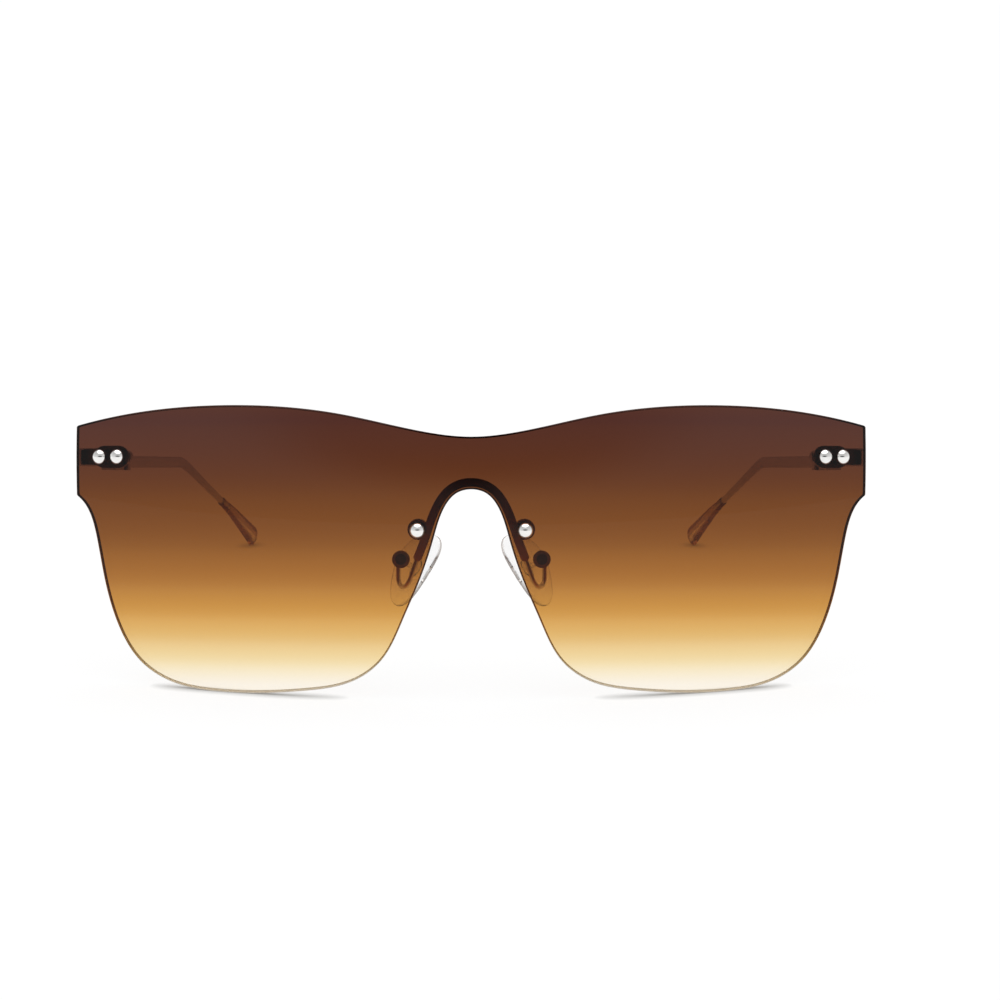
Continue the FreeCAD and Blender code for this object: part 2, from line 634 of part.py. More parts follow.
def temple():
    """Slim bar from the hinge, drawn down through the ear bend to a wire with a round core for the ear tip."""
    start = TEMPLE_MIDDLE + TEMPLE_ALONG * (BUTT_GAP / 2)
    at_start = run_section(start, TEMPLE_ALONG, TEMPLE_HEIGHT, TEMPLE_ROUND)
    at_bend = run_section(DRAWN_START, TEMPLE_ALONG, TEMPLE_HEIGHT, TEMPLE_ROUND)
    past_bend = run_section(DRAWN_END, EAR_ALONG, WIRE_START_HEIGHT, WIRE_START_ROUND)
    at_tip = run_section(WIRE_END, EAR_ALONG, WIRE_END_HEIGHT, WIRE_END_ROUND)
    bend = rounded_path([DRAWN_START, EAR_BEND, DRAWN_END], [EAR_BEND_RADIUS])
    drawn = bend.makePipeShell([at_bend, past_bend], True, False)
    bar = Part.Face(at_start).extrude(DRAWN_START - start)
    wire = Part.makeLoft([past_bend, at_tip], True, True)
    core = rod(WIRE_END, EAR_ALONG, CORE_LENGTH, CORE_WIRE_DIAMETER)
    return bar.fuse([drawn, wire, core]).removeSplitter()


def paddle_section():
    """Ellipse of the paddle's end, square to its run, with its height upright."""
    upright = upright_of(END_ALONG)
    top = TIP_END + upright * (PADDLE_HEIGHT / 2)
    side = TIP_END + END_ALONG.cross(upright) * (PADDLE_THICKNESS / 2)
    return Part.Ellipse(top, side, TIP_END)


def beyond_round_end():
    """Space past the paddle's end, which is rounded by a cylinder across the paddle."""
    upright = upright_of(END_ALONG)
    level = END_ALONG.cross(upright)
    reach = 2 * PADDLE_END_RADIUS
    middle = TIP_END - END_ALONG * PADDLE_END_RADIUS
    foot = middle - (upright + level) * reach
    ahead = foot + END_ALONG * reach
    rise = upright * (2 * reach)
    side = Part.Face(Part.makePolygon([foot, ahead, ahead + rise, foot + rise, foot]))
    block = side.extrude(level * (2 * reach))
    return block.cut(rod(middle - level * reach, level, 2 * reach, 2 * PADDLE_END_RADIUS))


def temple_tip():
    """Ear tip: a round sleeve on the core wire, which widens to an upright paddle with a round end."""
    sleeve = rod(WIRE_END, EAR_ALONG, SLEEVE_LENGTH, TIP_DIAMETER)
    path = rounded_path([PADDLE_START, END_BEND_POINT, TIP_END], [END_RUN_BEND_RADIUS])
    ring = Part.Circle(PADDLE_START, EAR_ALONG, TIP_DIAMETER / 2)
    ring.XAxis = upright_of(EAR_ALONG)
    rings = [Part.Wire(section.toShape()) for section in (ring, paddle_section())]
    paddle = path.makePipeShell(rings, True, False)
    bore = rod(WIRE_END, EAR_ALONG, CORE_LENGTH, CORE_WIRE_DIAMETER + 2 * FIXED_CLEARANCE)
    return sleeve.fuse(paddle).cut([bore, beyond_round_end()])


def wearer_frame_pieces():
    """All pieces by name, in the wearer's frame."""
    arm = pad_arm()
    bar = bridge_bar()
    box = pad_box()
    core = pad_core()
    left = {
        "pad_arm": arm.cut(bar).cut(rod(BOX_FRONT, BACKWARD, BOX_DEPTH, BOX_DIAMETER)),
        "pad_box": box,
        "pad_core": core,
        "nose_pad": nose_pad(core),
        "end_piece": end_piece(),
        "hinge_front_leaf": hinge_front_leaf(),
        "hinge_temple_leaf": hinge_temple_leaf(),
        "temple": temple(),
        "temple_tip": temple_tip(),
    }
    pieces = {
        "shield_lens": shield_lens(),
        "bridge_bar": bar,
        "lens_screws": Part.makeCompound([lens_screw(ray) for ray in ALL_RAYS]),
        "lens_bushes": Part.makeCompound([lens_bush(ray) for ray in ALL_RAYS]),
        "lens_nuts": Part.makeCompound([lens_nut(ray) for ray in ALL_RAYS]),
        "pad_screws": Part.makeCompound([pad_screw(), mirrored(pad_screw())]),
        "hinge_screws": Part.makeCompound([hinge_screw(), mirrored(hinge_screw())]),
    }
    for name, shape in left.items():
        pieces["left_" + name] = shape
        pieces["right_" + name] = mirrored(shape)
    return pieces


def lowest(shape, lean):
    """Lowest height of a shape when the pair leans back by an angle."""
    turned = shape.copy()
    turned.rotate(Vec(0, 0, 0), Vec(1, 0, 0), -lean)
    return turned.optimalBoundingBox(False, False).ZMin


def standing_lean(lens, tip):
    """Angle at which the lens and the ear tips touch the floor together, by halving an interval."""
    low = 0.0
    high = STEEPEST_LEAN
    for _ in range(HALVINGS):
        lean = (low + high) / 2
        if lowest(lens, lean) < lowest(tip, lean):
            low = lean
        else:
            high = lean
    return lean


def placed(shape, lean, shift):
    """A copy of a shape in the standing frame."""
    moved = shape.copy()
    moved.rotate(Vec(0, 0, 0), Vec(1, 0, 0), -lean)
    moved.translate(shift)
    return moved


PIECES = wearer_frame_pieces()
LEAN = standing_lean(PIECES["shield_lens"], PIECES["left_temple_tip"])
WHOLE = placed(Part.makeCompound(list(PIECES.values())), LEAN, Vec(0, 0, 0)).optimalBoundingBox(False, False)
SHIFT = Vec(0, -(WHOLE.YMin + WHOLE.YMax) / 2, -WHOLE.ZMin)

os.makedirs("parts", exist_ok=True)
for piece_name, piece_shape in PIECES.items():
    placed(piece_shape, LEAN, SHIFT).exportStep("parts/" + piece_name + ".step")
print("lean", round(LEAN, 3), "width", round(WHOLE.XLength, 2), "depth", round(WHOLE.YLength, 2),
      "height", round(WHOLE.ZLength, 2))
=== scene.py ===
"""Looks of a pair of rimless shield sunglasses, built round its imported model.

The lens, the nose pads, the ear tips and the dome screws are new surfaces that stand for their
solids. The metal pieces keep their solids and get their finishes here. Shapes are worked out in
the wearer's frame in millimetres: +X to the wearer's left, +Y back along the temples and +Z up,
with the origin at the front of the lens on the line of the temple screws. Angles are in degrees.
"""
import json
import logging
import math
from dataclasses import dataclass
from enum import Enum

import bpy
import numpy as np
from bpy.types import ID, Material, Node, NodeSocket, Object, World
from mathutils import Matrix, Vector


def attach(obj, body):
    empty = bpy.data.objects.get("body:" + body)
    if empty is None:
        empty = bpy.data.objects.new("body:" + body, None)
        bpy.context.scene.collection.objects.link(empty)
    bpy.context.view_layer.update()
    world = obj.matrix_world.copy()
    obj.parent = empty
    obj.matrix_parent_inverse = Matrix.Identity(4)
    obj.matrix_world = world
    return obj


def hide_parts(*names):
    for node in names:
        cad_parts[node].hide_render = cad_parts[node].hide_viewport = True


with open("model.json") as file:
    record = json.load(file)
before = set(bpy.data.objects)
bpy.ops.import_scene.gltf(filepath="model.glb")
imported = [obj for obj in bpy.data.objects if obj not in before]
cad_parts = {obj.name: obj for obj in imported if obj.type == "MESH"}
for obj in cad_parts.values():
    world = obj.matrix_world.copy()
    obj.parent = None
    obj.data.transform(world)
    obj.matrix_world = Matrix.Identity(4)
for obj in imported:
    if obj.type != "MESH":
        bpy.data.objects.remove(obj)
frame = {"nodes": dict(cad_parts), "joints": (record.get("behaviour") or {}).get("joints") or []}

LOG = logging.getLogger("sunglasses")
MM = 0.001
# Hinges behind the lens's sides and below the temple screws, in millimetres
HINGE_SETBACK = 13.9
HINGE_DROP = 0.7
# Octaves of each kind of noise, and the values between which a cloudy colour changes
FINE_OCTAVES = 4.0
CLOUD_OCTAVES = 3.0
BROAD_OCTAVES = 2.0
CLOUD_LOW = 0.3
CLOUD_HIGH = 0.7
Triple = tuple[float, float, float]
Colour = Triple
Stops = tuple[tuple[float, Colour], ...]
Pairs = tuple[tuple[float, float], ...]
Skin = tuple[np.ndarray, np.ndarray]
EVEN: Triple = (1.0, 1.0, 1.0)
WHITE = (1.0, 1.0, 1.0, 1.0)


class Side(Enum):
    """The wearer's two sides, with the sign of their X."""

    LEFT = 1
    RIGHT = -1

    @property
    def label(self) -> str:
        """The side's name in the names of nodes and bodies."""
        return self.name.lower()


class Slot(Enum):
    """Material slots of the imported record."""

    LENS = "tinted_lens"
    METAL = "frame_metal"
    DOME = "bright_screw"
    SMALL = "small_screw"
    BUSH = "clear_bush"
    PAD = "clear_pad"
    TIP = "clear_tip"


def unit(vectors: np.ndarray) -> np.ndarray:
    """Vectors, with their components on the last axis, divided by their lengths."""
    return vectors / np.linalg.norm(vectors, axis=-1, keepdims=True)


def turned(angle: float) -> tuple[float, float]:
    """Cosine and sine of an angle in degrees."""
    return math.cos(math.radians(angle)), math.sin(math.radians(angle))


def joint_named(name: str) -> dict:
    """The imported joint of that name."""
    return next(joint for joint in frame["joints"] if joint["name"] == name)


def outward_normals(loop: np.ndarray) -> np.ndarray:
    """Unit normals out of an anticlockwise loop of pairs: the way past each pair, turned to the right."""
    tangent = unit(np.roll(loop, -1, axis=0) - np.roll(loop, 1, axis=0))
    return np.stack([tangent[:, 1], -tangent[:, 0]], axis=1)


def circles(rays: np.ndarray, count: int) -> np.ndarray:
    """Unit circles square to some rays, anticlockwise as seen from their tips.

    A circle's points are a cos t + u sin t for t from 0 to a full turn, where a is the cross product
    of the wearer's up and the ray, made a unit, and u is that of the ray and a.

    Args:
        rays: unit vectors in the wearer's frame, one in a row.
        count: points on each circle.

    Returns:
        Points by ray and place on the circle, about the origin.
    """
    across = unit(np.cross((0, 0, 1), rays))[:, None]
    upward = np.cross(rays, across[:, 0])[:, None]
    t = np.linspace(0, 2 * math.pi, count, endpoint=False)[None, :, None]
    return across * np.cos(t) + upward * np.sin(t)


@dataclass(frozen=True)
class WearerFrame:
    """The wearer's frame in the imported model, read from the two folding hinges.

    Attributes:
        origin: front of the lens on the line of the temple screws, in metres.
        axes: rows are the wearer's left, back and up.
    """

    origin: np.ndarray
    axes: np.ndarray

    @classmethod
    def from_joints(cls, setback: float, drop: float) -> "WearerFrame":
        """The frame whose Z is the folding axis and whose X joins the two hinges.

        Args:
            setback: distance of the hinges behind the lens front, in millimetres.
            drop: height of the lens screws over the hinges, in millimetres.

        Returns:
            The wearer's frame.
        """
        left = np.array(joint_named("left_temple_fold")["pos_m"])
        right = np.array(joint_named("right_temple_fold")["pos_m"])
        up = unit(np.array(joint_named("left_temple_fold")["axis"]))
        across = unit(left - right)
        back = np.cross(up, across)
        origin = (left + right) / 2 - back * setback * MM + up * drop * MM
        return cls(origin, np.array([across, back, up]))

    def to_row(self, points: np.ndarray) -> np.ndarray:
        """Points of the wearer's frame, in millimetres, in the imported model's frame in metres."""
        return self.origin + points @ self.axes * MM

    def to_wearer(self, points: np.ndarray) -> np.ndarray:
        """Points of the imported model, in metres, in the wearer's frame in millimetres."""
        return (np.asarray(points) - self.origin) @ self.axes.T / MM

    def joint_place(self, name: str) -> np.ndarray:
        """A packed joint's place in the wearer's frame."""
        return self.to_wearer(joint_named(name)["pos_m"])

    def direction(self, vector: Triple) -> Vector:
        """A direction of the wearer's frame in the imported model's frame."""
        return Vector(np.array(vector) @ self.axes)


class Graph:
    """The node tree of a material or a world, with short calls to add and link its nodes."""

    def __init__(self, owner: Material | World) -> None:
        """Empties the owner's tree and starts it with its output.

        Args:
            owner: the new material or world.
        """
        self.owner = owner
        owner.use_nodes = True
        self.tree = owner.node_tree
        self.tree.nodes.clear()
        self.output = self.add("Output" + type(owner).__name__)

    @classmethod
    def of_material(cls, name: str) -> "Graph":
        """The tree of a new material of that name."""
        return cls(bpy.data.materials.new(name))

    def add(self, kind: str, settings: dict | None = None, **sockets: object) -> Node:
        """Adds one node.

        Args:
            kind: the node's type, without its ShaderNode prefix.
            settings: the node's own properties.
            **sockets: input sockets by name with underscores for spaces, each a value or an output.

        Returns:
            The new node.
        """
        node = self.tree.nodes.new("ShaderNode" + kind)
        for name, value in (settings or {}).items():
            setattr(node, name, value)
        for name, value in sockets.items():
            self.feed(node, name.replace("_", " "), value)
        return node

    def feed(self, node: Node, socket: str | int, value: object) -> None:
        """Sets an input socket to a value, or links it to an output.

        Args:
            node: the node that owns the socket.
            socket: the socket's name or number.
            value: a plain value or another node's output socket.
        """
        if isinstance(value, NodeSocket):
            self.tree.links.new(value, node.inputs[socket])
        else:
            node.inputs[socket].default_value = value

    def noise(self, scale: float, detail: float, stretch: Triple = EVEN) -> NodeSocket:
        """Noise on Object coordinates.

        Args:
            scale: cells in a metre.
            detail: octaves of finer noise.
            stretch: how much faster the noise changes along X, Y and Z.

        Returns:
            The noise's value.
        """
        place = self.add("TexCoord").outputs["Object"]
        spread = self.add("Mapping", Vector=place, Scale=stretch)
        texture = self.add("TexNoise", Vector=spread.outputs["Vector"], Scale=scale, Detail=detail)
        return texture.outputs["Fac"]

    def between(self, value: NodeSocket, low: float, high: float) -> NodeSocket:
        """A value from 0 to 1 spread between two others."""
        return self.add("MapRange", Value=value, To_Min=low, To_Max=high).outputs["Result"]

    def fade(self, value: NodeSocket, start: float, stop: float) -> NodeSocket:
        """A smooth fall from 1 to 0 as a value goes from start to stop."""
        falling = self.add("MapRange", {"interpolation_type": "SMOOTHSTEP"}, Value=value, From_Min=start,
                           From_Max=stop, To_Min=1.0, To_Max=0.0)
        return falling.outputs["Result"]

    def pair(self, operation: str, first: object, second: object) -> NodeSocket:
        """Arithmetic on two values.

        Args:
            operation: the Math node's operation.
            first: a value or an output.
            second: a value or an output.

        Returns:
            The result.
        """
        node = self.add("Math", {"operation": operation})
        self.feed(node, 0, first)
        self.feed(node, 1, second)
        return node.outputs["Value"]

    def tones(self, value: NodeSocket, stops: Stops) -> NodeSocket:
        """Colours along a ramp.

        Args:
            value: place on the ramp, from 0 to 1.
            stops: places and their linear colours, in order.

        Returns:
            The colour at the value.
        """
        ramp = self.add("ValToRGB", Fac=value)
        ramp.color_ramp.interpolation = "CARDINAL"
        elements = ramp.color_ramp.elements
        elements.remove(elements[1])
        elements[0].position = stops[0][0]
        elements[0].color = (*stops[0][1], 1.0)
        for place, colour in stops[1:]:
            elements.new(place).color = (*colour, 1.0)
        return ramp.outputs["Color"]

    def bump(self, height: NodeSocket, depth: float) -> NodeSocket:
        """Normals of a height map, with its depth in metres."""
        return self.add("Bump", Height=height, Distance=depth, Strength=1.0).outputs["Normal"]

    def finish(self, surface: NodeSocket) -> Material | World:
        """Ends the tree with a surface shader and gives its owner."""
        self.feed(self.output, "Surface", surface)
        return self.owner

    def lets_light_through(self, shader: NodeSocket, tint: object) -> Material:
        """Ends the tree with a clear shader through which lamps still light what is behind.

        Args:
            shader: the surface as it is seen.
            tint: colour or colour output of the light that goes through.

        Returns:
            The finished material.
        """
        clear = self.add("BsdfTransparent", Color=tint)
        shadow = self.add("LightPath").outputs["Is Shadow Ray"]
        mix = self.add("MixShader", Fac=shadow)
        self.feed(mix, 1, shader)
        self.feed(mix, 2, clear.outputs["BSDF"])
        return self.finish(mix.outputs["Shader"])


@dataclass(frozen=True)
class CloudyFinish:
    """A finish whose colour and gloss change a little over a piece.

    Attributes:
        name: the material's name.
        light: linear colour where it is cleanest.
        dark: linear colour in its marks or clouds.
        smooth: least roughness.
        rough: greatest roughness.
    """

    name: str
    light: Colour
    dark: Colour
    smooth: float
    rough: float

    def hue(self, graph: Graph, noise: NodeSocket) -> NodeSocket:
        """The colour that follows a noise."""
        return graph.tones(noise, ((CLOUD_LOW, self.dark), (CLOUD_HIGH, self.light)))

    def gloss(self, graph: Graph, noise: NodeSocket) -> NodeSocket:
        """The roughness that follows a noise."""
        return graph.between(noise, self.smooth, self.rough)


@dataclass(frozen=True)
class MetalFinish(CloudyFinish):
    """Metal with fine marks.

    Attributes:
        grain: marks in a metre.
        depth: depth of the marks in metres.
        stretch: how much faster the marks change along X, Y and Z.
        broad: marks in the width of one broad cloud.
    """

    grain: float
    depth: float
    stretch: Triple = EVEN
    broad: float = 12.0

    def material(self) -> Material:
        """Metal whose roughness and bump follow one fine noise, and whose colour follows a broad one.

        Returns:
            The finished material.
        """
        graph = Graph.of_material(self.name)
        fine = graph.noise(self.grain, FINE_OCTAVES, self.stretch)
        broad = graph.noise(self.grain / self.broad, BROAD_OCTAVES)
        shader = graph.add(
            "BsdfPrincipled",
            Base_Color=self.hue(graph, broad),
            Metallic=1.0,
            Roughness=self.gloss(graph, fine),
            Normal=graph.bump(fine, self.depth),
        )
        return graph.finish(shader.outputs["BSDF"])


@dataclass(frozen=True)
class ClearFinish(CloudyFinish):
    """See-through plastic or silicone.

    Attributes:
        ior: index of refraction.
        cloud: clouds in a metre.
        shadow: colour of the light that goes through to what is behind.
    """

    ior: float
    cloud: float
    shadow: Colour

    def material(self) -> Material:
        """Refracting plastic with faint clouds in its colour and gloss.

        Returns:
            The finished material.
        """
        graph = Graph.of_material(self.name)
        clouds = graph.noise(self.cloud, CLOUD_OCTAVES)
        shader = graph.add(
            "BsdfPrincipled",
            Base_Color=self.hue(graph, clouds),
            Roughness=self.gloss(graph, clouds),
            Transmission_Weight=1.0,
            IOR=self.ior,
        )
        return graph.lets_light_through(shader.outputs["BSDF"], (*self.shadow, 1.0))


@dataclass(frozen=True)
class DyedFinish:
    """Lens plastic dipped in dye, dark at the brow and nearly clear at the bottom.

    Attributes:
        name: the material's name.
        stops: heights as shares of the dyed band and their linear colours.
        ior: index of refraction, low where a coating weakens the reflection.
        roughness: roughness of the wiped surface, at its greatest.
        clearness: share of the light that goes through and isn't scattered at the surface.
        bottom: height of the band's lower end in the wearer's frame, in millimetres.
        top: height of its upper end.
        wipe: wiping marks in a metre.
        wipe_stretch: how much faster the marks change along X, Y and Z.
    """

    name: str
    stops: Stops
    ior: float
    roughness: float
    clearness: float
    bottom: float = -42.0
    top: float = 9.0
    wipe: float = 300.0
    wipe_stretch: Triple = (1.0, 1.0, 4.0)

    def height(self, graph: Graph, wearer: WearerFrame) -> NodeSocket:
        """Share of the dyed band at a point: its place along the wearer's up, from bottom to top.

        Args:
            graph: the material's nodes.
            wearer: the wearer's frame.

        Returns:
            The share, from 0 to 1.
        """
        up = wearer.direction((0, 0, 1))
        place = graph.add("TexCoord").outputs["Object"]
        along = graph.add("VectorMath", {"operation": "DOT_PRODUCT"})
        graph.feed(along, 0, place)
        graph.feed(along, 1, up)
        ends = [float(Vector(wearer.to_row(np.array((0, 0, z)))) @ up) for z in (self.bottom, self.top)]
        spread = graph.add("MapRange", Value=along.outputs["Value"], From_Min=ends[0], From_Max=ends[1])
        return spread.outputs["Result"]

    def material(self, wearer: WearerFrame) -> Material:
        """Refracting plastic whose colour follows the dye, with a faintly wiped gloss.

        Args:
            wearer: the wearer's frame.

        Returns:
            The finished material.
        """
        graph = Graph.of_material(self.name)
        dye = graph.tones(self.height(graph, wearer), self.stops)
        wiped = graph.noise(self.wipe, BROAD_OCTAVES, self.wipe_stretch)
        shader = graph.add(
            "BsdfPrincipled",
            Base_Color=dye,
            Roughness=graph.between(wiped, 0.0, self.roughness),
            Transmission_Weight=self.clearness,
            IOR=self.ior,
        )
        return graph.lets_light_through(shader.outputs["BSDF"], dye)


SATIN_NICKEL = MetalFinish(
    "satin_nickel", light=(0.7, 0.64, 0.62), dark=(0.64, 0.58, 0.56), smooth=0.26, rough=0.34,
    grain=9000.0, depth=0.000004, stretch=(1.0, 0.12, 1.0),
)
POLISHED_DOME = MetalFinish(
    "polished_dome", light=(0.9, 0.89, 0.87), dark=(0.82, 0.81, 0.8), smooth=0.05, rough=0.12,
    grain=6000.0, depth=0.000001,
)
BLACK_STEEL = MetalFinish(
    "black_steel", light=(0.2, 0.18, 0.18), dark=(0.13, 0.12, 0.12), smooth=0.25, rough=0.4,
    grain=12000.0, depth=0.000003,
)
CLEAR_SILICONE = ClearFinish(
    "clear_silicone", light=(0.965, 0.96, 0.96), dark=(0.93, 0.93, 0.93), smooth=0.06, rough=0.14,
    ior=1.24, cloud=500.0, shadow=(0.94, 0.94, 0.94),
)
# Pad rim: darker than the pad, painted shade for the outline of its rounded edge
SILICONE_RIM_SHADE = ClearFinish(
    "silicone_rim_painted_shade", light=(0.56, 0.5, 0.46), dark=(0.46, 0.41, 0.38), smooth=0.15, rough=0.3,
    ior=1.06, cloud=500.0, shadow=(0.94, 0.94, 0.94),
)
CLEAR_ACETATE = ClearFinish(
    "clear_acetate", light=(0.93, 0.9, 0.87), dark=(0.88, 0.84, 0.8), smooth=0.01, rough=0.05,
    ior=1.4, cloud=300.0, shadow=(0.75, 0.73, 0.7),
)
# Tip edges: darker than the tip, painted shade for the dark lines along its upper and lower edges
ACETATE_EDGE_SHADE = ClearFinish(
    "acetate_edge_painted_shade", light=(0.42, 0.25, 0.19), dark=(0.33, 0.19, 0.14), smooth=0.1, rough=0.25,
    ior=1.12, cloud=300.0, shadow=(0.75, 0.73, 0.7),
)
CLEAR_NYLON = ClearFinish(
    "clear_nylon", light=(0.93, 0.93, 0.92), dark=(0.86, 0.86, 0.85), smooth=0.1, rough=0.2,
    ior=1.5, cloud=900.0, shadow=(0.85, 0.85, 0.85),
)
BROWN_DYE = DyedFinish(
    "brown_dye",
    (
        (0.0, (1.0, 0.94, 0.83)),
        (0.08, (0.92, 0.76, 0.465)),
        (0.16, (0.8, 0.54, 0.22)),
        (0.25, (0.655, 0.345, 0.085)),
        (0.36, (0.445, 0.19, 0.039)),
        (0.5, (0.266, 0.096, 0.019)),
        (0.7, (0.147, 0.045, 0.012)),
        (0.93, (0.091, 0.03, 0.02)),
    ),
    ior=1.26, roughness=0.02, clearness=1.0,
)
# Lens rim: the dye, made darker than the lens faces as painted shade for the dark line that the rim shows
DYED_EDGE_AND_SHADE = DyedFinish(
    "dyed_edge_and_painted_shade",
    (
        (0.0, (0.75, 0.7, 0.62)),
        (0.12, (0.5, 0.42, 0.3)),
        (0.27, (0.27, 0.17, 0.08)),
        (0.52, (0.12, 0.055, 0.02)),
        (0.9, (0.06, 0.022, 0.014)),
    ),
    ior=1.2, roughness=0.5, clearness=0.1,
)


def linked(name: str, data: ID) -> Object:
    """A new object with that data, linked to the scene.

    Args:
        name: the object's name.
        data: its mesh, lamp or camera.

    Returns:
        The object.
    """
    holder = bpy.data.objects.new(name, data)
    bpy.context.scene.collection.objects.link(holder)
    return holder


def new_piece(name: str, points: np.ndarray, faces: np.ndarray, wearer: WearerFrame) -> Object:
    """A smooth mesh object at the origin, with its place in its mesh.

    Args:
        name: the piece's name.
        points: vertices in the wearer's frame, in millimetres.
        faces: rows of four vertex numbers, where a repeated number makes a triangle.
        wearer: the wearer's frame.

    Returns:
        The new object, linked to the scene.
    """
    mesh = bpy.data.meshes.new(name)
    rows = [list(dict.fromkeys(face)) for face in faces.tolist()]
    mesh.from_pydata(wearer.to_row(points).tolist(), [], rows)
    mesh.polygons.foreach_set("use_smooth", np.ones(len(rows), bool))
    mesh.update()
    return linked(name, mesh)


def two_finishes(piece: Object, main: Material, other: Material, picked: np.ndarray) -> None:
    """Gives a piece one finish, and another on some of its faces.

    Args:
        piece: the piece.
        main: finish of most faces.
        other: finish of the picked faces.
        picked: for each face, whether it is picked.
    """
    piece.data.materials.append(main)
    piece.data.materials.append(other)
    piece.data.polygons.foreach_set("material_index", picked.astype(np.int32))


def node_points(name: str, wearer: WearerFrame) -> np.ndarray:
    """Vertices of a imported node, in the wearer's frame.

    Args:
        name: the node's name.
        wearer: the wearer's frame.

    Returns:
        Points in millimetres.
    """
    mesh = frame["nodes"][name].data
    flat = np.empty(len(mesh.vertices) * 3)
    mesh.vertices.foreach_get("co", flat)
    return wearer.to_wearer(flat.reshape(-1, 3))


def strip_faces(numbers: np.ndarray, closed: bool) -> np.ndarray:
    """Quads between neighbouring rows and columns of a grid of vertex numbers.

    Args:
        numbers: grid of vertex numbers.
        closed: whether the last column joins the first.

    Returns:
        Rows of four vertex numbers, anticlockwise as the columns run right and the rows run up.
    """
    after = np.roll(numbers, -1, axis=1)
    if not closed:
        numbers, after = numbers[:, :-1], after[:, :-1]
    quads = np.stack([numbers[:-1], after[:-1], after[1:], numbers[1:]], axis=-1)
    return quads.reshape(-1, 4)


def tube(rings: np.ndarray) -> Skin:
    """A closed skin over a stack of rings, with a point in the middle of each end.

    Args:
        rings: points by ring, place on the ring and component.

    Returns:
        The vertices and the faces.
    """
    count, around, _ = rings.shape
    numbers = np.arange(count * around).reshape(count, around)
    ends = np.array([rings[0].mean(0), rings[-1].mean(0)])
    points = np.concatenate([rings.reshape(-1, 3), ends])
    first = np.full((1, around), count * around)
    grid = np.concatenate([first, numbers, first + 1])
    return points, strip_faces(grid, closed=True)


def together(skins: list[Skin]) -> Skin:
    """Several skins as one, each with as many vertices as the first.

    Args:
        skins: vertices and faces of each skin.

    Returns:
        All the vertices and all the faces.
    """
    step = len(skins[0][0])
    faces = [face + step * i for i, (_, face) in enumerate(skins)]
    return np.concatenate([points for points, _ in skins]), np.concatenate(faces)


def mirrored(points: np.ndarray, faces: np.ndarray, side: Side) -> Skin:
    """A surface of the wearer's left side on either side, with its faces still outwards.

    Args:
        points: vertices of the left piece.
        faces: its faces.
        side: the side wanted.

    Returns:
        Vertices and faces on that side.
    """
    if side is Side.LEFT:
        return points, faces
    return points * (-1, 1, 1), faces[:, ::-1]


def smooth_curve(points: np.ndarray, count: int) -> np.ndarray:
    """Points of one smooth curve through a few given ones.

    The curve is a cubic spline over the chord lengths. Its slopes m solve, at each inner point,
    m[i-1]/h[i-1] + 2 m[i] (1/h[i-1] + 1/h[i]) + m[i+1]/h[i] = 3 (d[i-1]/h[i-1] + d[i]/h[i]) for the
    chord lengths h and the chord slopes d, and its end slopes are those of the cubic through the
    four points at each end.

    Args:
        points: the given points, one in a row.
        count: how many points to give back.

    Returns:
        Points of the curve, evenly spaced over the chord lengths.
    """
    chords = np.linalg.norm(np.diff(points, axis=0), axis=1)
    knots = np.concatenate([[0.0], np.cumsum(chords)])
    slopes = np.diff(points, axis=0) / chords[:, None]
    size = len(points)
    matrix = np.zeros((size, size))
    inner = np.arange(1, size - 1)
    matrix[inner, inner - 1] = 1 / chords[:-1]
    matrix[inner, inner] = 2 / chords[:-1] + 2 / chords[1:]
    matrix[inner, inner + 1] = 1 / chords[1:]
    right = np.zeros_like(points)
    right[1:-1] = 3 * (slopes[:-1] / chords[:-1, None] + slopes[1:] / chords[1:, None])
    for row, four in ((0, slice(0, 4)), (size - 1, slice(size - 4, size))):
        matrix[row, row] = 1.0
        right[row] = np.polyfit(knots[four] - knots[row], points[four], 3)[2]
    tangents = np.linalg.solve(matrix, right)
    places = np.linspace(0, knots[-1], count)
    span = np.clip(np.searchsorted(knots, places, side="right") - 1, 0, size - 2)
    length = chords[span, None]
    share = ((places - knots[span]) / chords[span])[:, None]
    start = (1 + 2 * share) * (1 - share) ** 2 * points[span]
    start += share * (1 - share) ** 2 * length * tangents[span]
    stop = share ** 2 * (3 - 2 * share) * points[span + 1]
    stop += share ** 2 * (share - 1) * length * tangents[span + 1]
    return start + stop


def lengths_along(points: np.ndarray) -> np.ndarray:
    """Length along a line of points, from its start to each point."""
    return np.concatenate([[0.0], np.cumsum(np.linalg.norm(np.diff(points, axis=0), axis=1))])


